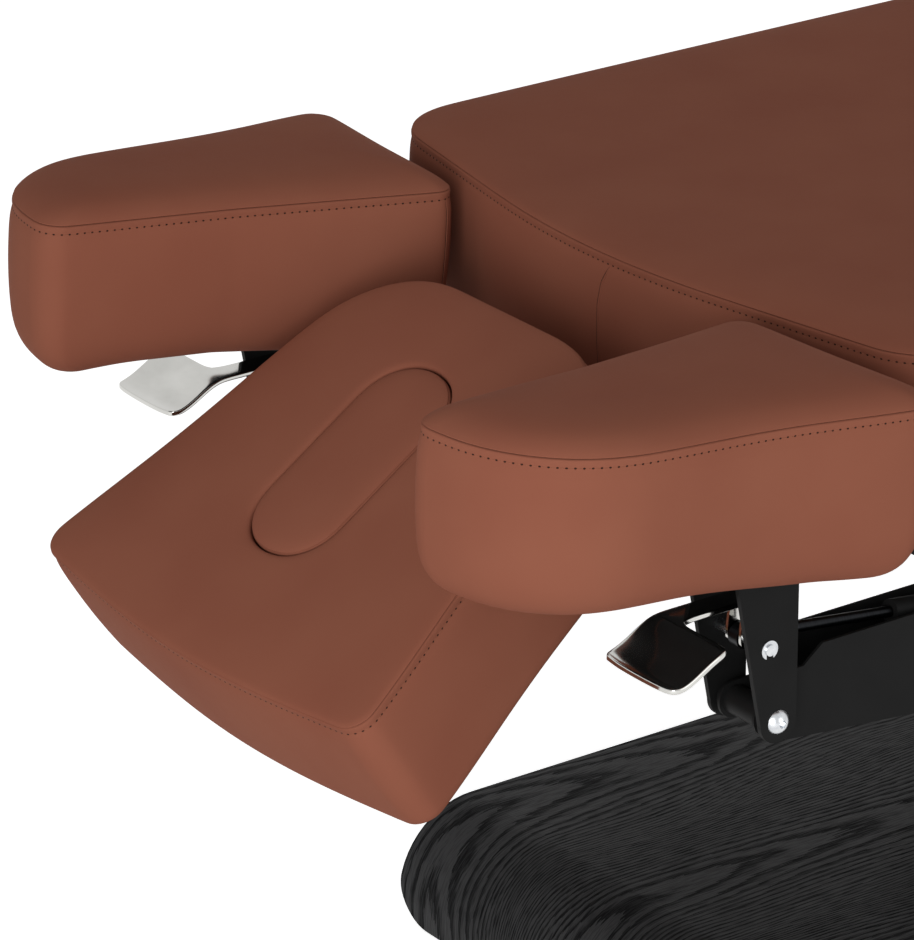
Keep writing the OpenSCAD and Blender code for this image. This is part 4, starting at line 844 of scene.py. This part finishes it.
def dust_cover(piece):
    """The underside, where the leatherette is stapled, is closed with black non-woven cloth."""
    piece.data.materials.append(NON_WOVEN)
    for face in piece.data.polygons:
        if face.normal.z < UNDERSIDE_NORMAL:
            face.material_index = 1


def make_arm_cushion(side):
    points = outline([(*arm_point(along, across), ARM_W * radius, PAD_DRAW * draw, steps)
                      for along, across, radius, draw, steps in ARM_SHARES], 6)
    spine = [arm_point(*share) for share in ARM_SPINE_SHARES]
    node, place = f"arm_cushion_{side}", arm_place(side)
    piece = cushion(f"{node}_cover", points, ARM_DEPTH, ARM_HEM_R, ARM_CROWN, ARM_CROWN_SHARES, spine,
        place, ARM_SIDE, board=drawn(points, spine, ARM_BOARD_IN - SEAT_GAP), settled=arm_settled)
    dress(piece, node)
    dust_cover(piece)
    sewn_round(node, piece, points, place, node, arm_settled)
    x, y = points[2]
    join = np.array([(x, y - inwards, -down) for inwards, down in ARM_JOIN])
    joined_panels(f"{node}_join", piece, arm_settled(join), place, node)


# Headrest and its plug

HEAD_LEN = 413
HEAD_FOOT_W = 346
HEAD_END_W = 502
HEAD_DEPTH = 138
HEAD_CROWN = 13
HEAD_END_R = 24
HEAD_FOOT_R = 112
HEAD_BOW = 17
HEAD_HEM_R = 14
HEAD_TILT = 32
HEAD_GAP = 8
# Past the firm length beside the main cushion the cover draws in, sinks at its crown and sags at its hem
HEAD_FIRM = 60
HEAD_SHORTER = 9
HEAD_SINK = 8
HEAD_SAG = 6
PLUG_LEN = 224
PLUG_W = 109
PLUG_BACK = 8
PLUG_DEPTH = 70
PLUG_PROUD = 3
PLUG_GAP = 2
PLUG_EDGE = 4
HOLE_ROUND = 0.46
HOLE_EDGE = 3
HOLE_X = -HEAD_GAP - HEAD_LEN / 2 + PLUG_BACK
HEAD_SPINE = ((HOLE_X - (PLUG_LEN - PLUG_W) / 2, 0), (HOLE_X + (PLUG_LEN - PLUG_W) / 2, 0))
# Round the hole's mouth and the plug's rim: outward offsets, and shares of the headrest's crown
MOUTH_SHARES = [(0, 0.86), (-PLUG_GAP / 4, 0.5), (0, 0)]
RIM_SHARES = [(0, 0), (0, 0.62), (0, 0.72), (-1.4, 0.78), (-0.3, 0.86)]
# The share of the headrest's crown at which the plug's own crown starts
PLUG_START = 0.82


def head_place():
    """The headrest is drawn level from the main head seam and turned down about its shaft."""
    shaft = Vector(JOINTS["headrest_tilt"]["pos_m"]) / MM
    turn = Matrix.Rotation(math.radians(-HEAD_TILT), 4, "Y")
    return Matrix.Translation(shaft) @ turn @ Matrix.Translation(-shaft) @ MAIN_PLACE


def hole_outline(by):
    """Outline of the face hole, or of a copy of it that is wider all round."""
    half_l, half_w = PLUG_LEN / 2 + by, PLUG_W / 2 + by
    r = half_w * 2 * HOLE_ROUND
    return outline([(HOLE_X + half_l * x, half_w * y, r, 0, 8)
                    for x, y in ((-1, -1), (1, -1), (1, 1), (-1, 1))], 6)


def head_settled(points):
    """Points of the headrest's cover, or of the plug's, as the foam has settled towards the head end."""
    x, y, z = points.T
    share = smooth_share(-x, HEAD_FIRM, HEAD_GAP + HEAD_LEN)
    up = smooth_share(z, -HEAD_DEPTH, -HEAD_DEPTH * 0.4)
    return np.stack([x + HEAD_SHORTER * share, y, z - share * (HEAD_SINK * up + HEAD_SAG * (1 - up))], 1)


def make_headrest():
    far, near = -HEAD_GAP - HEAD_LEN, -HEAD_GAP
    points = outline([
        (far, -HEAD_END_W / 2, HEAD_END_R, PAD_DRAW, 8), (near, -HEAD_FOOT_W / 2, HEAD_FOOT_R, 0, 8),
        (near, HEAD_FOOT_W / 2, HEAD_FOOT_R, PAD_DRAW, 8),
        (far, HEAD_END_W / 2, HEAD_END_R, -HEAD_BOW, 8)], 6)
    hole, low = hole_outline(PLUG_GAP), hole_outline(-PLUG_GAP)
    rings = band(points, HEAD_DEPTH, HEAD_HEM_R, HEAD_SPINE)
    rings += crowned(points, hole, HEAD_CROWN, HEAD_CROWN_SHARES)
    rings += [ring(grown(hole, out), HEAD_CROWN * share) for out, share in MOUTH_SHARES]
    rings += [ring(low, -drop) for drop in (PLUG_DEPTH, HEAD_DEPTH - HOLE_EDGE, HEAD_DEPTH)]
    node = "headrest_cushion"
    piece = lofted("headrest_cover", [head_settled(r) for r in rings], head_place(), closed=True)
    subdivided(piece)
    dress(piece, node)
    sewn_round("headrest", piece, points, head_place(), node, head_settled)


def make_plug():
    points, low = hole_outline(0), hole_outline(-PLUG_GAP - SEAT_GAP)
    start = HEAD_CROWN * PLUG_START
    rings = [ring(low, SEAT_GAP - PLUG_DEPTH), ring(low, PLUG_EDGE - PLUG_DEPTH)]
    rings += [ring(grown(points, out), HEAD_CROWN * share) for out, share in RIM_SHARES]
    rings += crowned(points, spine_points(points, HEAD_SPINE), HEAD_CROWN + PLUG_PROUD - start,
        PLUG_CROWN_SHARES, start)
    piece = lofted("headrest_plug_cover", [head_settled(r) for r in rings], head_place(), PLUG_SIDE)
    subdivided(piece)
    dress(piece, "headrest_plug")


# Release levers

# Shares of the paddle's depth and fall along its middle line, from the neck to the lip
PADDLE_SHARES = [(0, 0), (0.1, 0.03), (0.24, 0.17), (0.44, 0.48), (0.64, 0.79), (0.84, 0.97), (1, 0.95)]
# The sheet, the neck whose middle plane stands NECK_UP over the pin, the paddle, and the ears
LEVER_T = 5
LEVER_EDGE = 1.1
NECK_W = 26
NECK_LEN = 77
NECK_UP = 35.5
PADDLE_W = 98
PADDLE_D = 62
PADDLE_FALL = 24
PADDLE_DISH = 2
PADDLE_R = 12
NECK_FILLET = 3
EAR_T = 3
EAR_OUT = 9.5
EAR_BORE = 5.3
EAR_UP = 33.75
# Width of the strut's eye between the ears, and the air on each side of it
EYE_W = 12
EYE_GAP = 1.5
# Stations of the sheet's grid: along from the pin, and outwards from the neck's inner edge
LEVER_X = [10, -8, -28, -48, -64, -77, -86, -96, -107, -118, -128, -135, -139]
LEVER_Y = [0, 6, 20, 26, 36, 50, 66, 82, 92, 98]


def paddle_rounded(x, y):
    """A place in the lever's plan, with the paddle's corners drawn in to arcs and the neck's filled."""
    if (x, y) == (-NECK_LEN, NECK_W):
        return x + NECK_FILLET, y + NECK_FILLET
    lip = -NECK_LEN - PADDLE_D
    for corner_x, corner_y in ((-NECK_LEN, PADDLE_W), (lip, PADDLE_W), (lip, 0)):
        middle_x = corner_x + math.copysign(PADDLE_R, -NECK_LEN - PADDLE_D / 2 - corner_x)
        middle_y = corner_y + math.copysign(PADDLE_R, PADDLE_W / 2 - corner_y)
        dx, dy = x - middle_x, y - middle_y
        if dx * (corner_x - middle_x) > 0 and dy * (corner_y - middle_y) > 0:
            pull = max(abs(dx), abs(dy)) / math.hypot(dx, dy)
            return middle_x + dx * pull, middle_y + dy * pull
    return x, y


def shaped_sheet(pin):
    """The neck and paddle: a flat grid whose spare corner is cut away, drawn along the lever's line."""
    bpy.ops.object.select_all(action="DESELECT")
    bpy.ops.mesh.primitive_grid_add(x_subdivisions=len(LEVER_X) - 1, y_subdivisions=len(LEVER_Y) - 1,
        size=1)
    sheet = bpy.context.object
    columns = sorted({round(v.co.x, 4) for v in sheet.data.vertices}, reverse=True)
    rows = sorted({round(v.co.y, 4) for v in sheet.data.vertices})
    for vertex in sheet.data.vertices:
        x, y = paddle_rounded(LEVER_X[columns.index(round(vertex.co.x, 4))],
                              LEVER_Y[rows.index(round(vertex.co.y, 4))])
        share = max(0, (-NECK_LEN - x) / PADDLE_D)
        fall = PADDLE_FALL * np.interp(share, *zip(*PADDLE_SHARES))
        # The dish deepens over the paddle's first third
        dish = PADDLE_DISH * min(1, share * 3) * ((y - PADDLE_W / 2) / (PADDLE_W / 2)) ** 2
        vertex.co = (pin + Vector((x, y - NECK_W / 2, NECK_UP - fall + dish))) * MM
    bpy.ops.object.mode_set(mode="EDIT")
    bpy.ops.mesh.select_all(action="DESELECT")
    bpy.ops.object.mode_set(mode="OBJECT")
    for face in sheet.data.polygons:
        away = face.center / MM - pin
        face.select = away.x > -NECK_LEN + NECK_FILLET and away.y > NECK_W / 2
    bpy.ops.object.mode_set(mode="EDIT")
    bpy.ops.mesh.select_mode(type="FACE")
    bpy.ops.mesh.delete(type="FACE")
    bpy.ops.mesh.select_mode(type="VERT")
    bpy.ops.object.mode_set(mode="OBJECT")
    modified(sheet, "SOLIDIFY", thickness=LEVER_T * MM, offset=0)
    modified(sheet, "BEVEL", width=LEVER_EDGE * MM, segments=2, limit_method="ANGLE")
    modified(sheet, "SUBSURF", levels=2, render_levels=2)
    turned_outwards(sheet)
    bpy.ops.object.shade_smooth()
    return sheet


def ear(pin, y):
    """One ear on the pin: a ring whose upper half is drawn up to the neck, then thickened."""
    middle = (pin + Vector((0, y, 0))) * MM
    bpy.ops.object.select_all(action="DESELECT")
    bpy.ops.mesh.primitive_circle_add(vertices=24, radius=EAR_BORE * MM, fill_type="NOTHING",
        location=middle, rotation=(math.pi / 2, 0, 0))
    piece = bpy.context.object
    bpy.ops.object.transform_apply(location=True, rotation=True, scale=True)
    bpy.ops.object.mode_set(mode="EDIT")
    bpy.ops.mesh.select_all(action="SELECT")
    bpy.ops.mesh.extrude_edges_move()
    bpy.ops.transform.resize(value=(EAR_OUT / EAR_BORE, 1, EAR_OUT / EAR_BORE), center_override=middle)
    bpy.ops.object.mode_set(mode="OBJECT")
    for vertex in piece.data.vertices:
        away = vertex.co / MM - pin
        if math.hypot(away.x, away.z) > EAR_OUT * 0.9 and away.z > 0:
            away.z = away.z / EAR_OUT * EAR_UP
            vertex.co = (pin + away) * MM
    bpy.ops.object.mode_set(mode="EDIT")
    bpy.ops.mesh.select_all(action="SELECT")
    bpy.ops.mesh.extrude_region_move(TRANSFORM_OT_translate={"value": (0, EAR_T * MM, 0)})
    bpy.ops.object.mode_set(mode="OBJECT")
    turned_outwards(piece)
    bpy.ops.object.shade_smooth_by_angle(angle=math.radians(40))
    return piece


def make_release_levers():
    """The left lever is modelled, and the right one is its mirrored copy."""
    pin = Vector(JOINTS["lever_left_pull"]["pos_m"]) / MM
    sheet = shaped_sheet(pin)
    inner_face = EYE_W / 2 + EYE_GAP
    ears = [ear(pin, inner_face), ear(pin, -inner_face - EAR_T)]
    select_only(sheet)
    for piece in ears:
        piece.select_set(True)
    bpy.ops.object.join()
    copy = sheet.copy()
    copy.data = sheet.data.copy()
    bpy.context.scene.collection.objects.link(copy)
    copy.data.transform(MIRROR)
    turned_outwards(copy)
    for side, piece in (("left", sheet), ("right", copy)):
        node = f"release_lever_{side}"
        piece.name = f"{node}_pressing"
        piece.data.materials.append(POLISHED)
        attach(piece, NODE_BODY[node])
        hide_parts(node)


# Stage

# Strength of the white that the floor shows by itself, and of the light that the surroundings give
FLOOR_GLOW = 0.8
SKY_LIGHT = 0.34


def seen_rays(material):
    """1 for the rays by which the camera, a reflection or clear glass sees the white surroundings."""
    path = add(material, "ShaderNodeLightPath").outputs
    direct = add(material, "ShaderNodeMath", {0: path["Is Camera Ray"], 1: path["Is Glossy Ray"]},
        operation="MAXIMUM")
    return add(material, "ShaderNodeMath", {0: direct, 1: path["Is Transmission Ray"]}, operation="MAXIMUM")


def pale_floor():
    """Matt pale board: it takes the table's shadow, and reads as white where it is looked at."""
    material = new_material("matt_pale_board")
    glow = add(material, "ShaderNodeMath", {0: seen_rays(material)}, operation="MULTIPLY",
        values={1: FLOOR_GLOW})
    board = add(material, "ShaderNodeBsdfDiffuse", Color=linear("#F0F0F0"))
    white = add(material, "ShaderNodeEmission", {"Strength": glow}, Color=(1, 1, 1, 1))
    both = add(material, "ShaderNodeAddShader", {0: board, 1: white})
    add(material, "ShaderNodeOutputMaterial", {"Surface": both})
    return material


def make_stage():
    bpy.ops.object.select_all(action="DESELECT")
    bpy.ops.mesh.primitive_plane_add(size=30, location=(0, 0, 0))
    floor = bpy.context.object
    floor.name = "floor"
    floor.data.materials.append(pale_floor())


def make_world():
    world = bpy.data.worlds.new("studio")
    bpy.context.scene.world = world
    world.use_nodes = True
    world.node_tree.nodes.clear()
    strength = add(world, "ShaderNodeMapRange", {"Value": seen_rays(world)},
        values={"To Min": SKY_LIGHT, "To Max": 1.0})
    background = add(world, "ShaderNodeBackground", {"Strength": strength}, Color=(1, 1, 1, 1))
    add(world, "ShaderNodeOutputWorld", {"Surface": background})


def area_light(name, place, aim, size, power):
    data = bpy.data.lights.new(name, "AREA")
    data.shape = "DISK"
    data.size = size
    data.energy = power
    light = bpy.data.objects.new(name, data)
    light.location = place
    light.rotation_euler = (Vector(aim) - Vector(place)).to_track_quat("-Z", "Y").to_euler()
    bpy.context.scene.collection.objects.link(light)


# Lights in metres and watts: both are aimed at the head end, and stand off from it by these ways
LIGHT_SIZE = 2.6
LIGHT_AIM_Z = 0.6
KEY_FROM = (-3.4, -2.9, 0.9)
KEY_POWER = 107
FILL_FROM = (1.2, -4.4, 0.8)
FILL_POWER = 24


def make_lights():
    """A wide soft box low at the camera's left, and a weaker one at its right."""
    head = Vector((HEAD_SEAM_X * MM, 0, LIGHT_AIM_Z))
    area_light("key", head + Vector(KEY_FROM), head, LIGHT_SIZE, KEY_POWER)
    area_light("fill", head + Vector(FILL_FROM), head, LIGHT_SIZE, FILL_POWER)


bpy.context.scene.view_settings.view_transform = "Standard"
make_camera()
finish_cad_nodes()
make_main_cushion()
for arm_side in ("left", "right"):
    make_arm_cushion(arm_side)
make_headrest()
make_plug()
make_release_levers()
make_world()
make_lights()
make_stage()
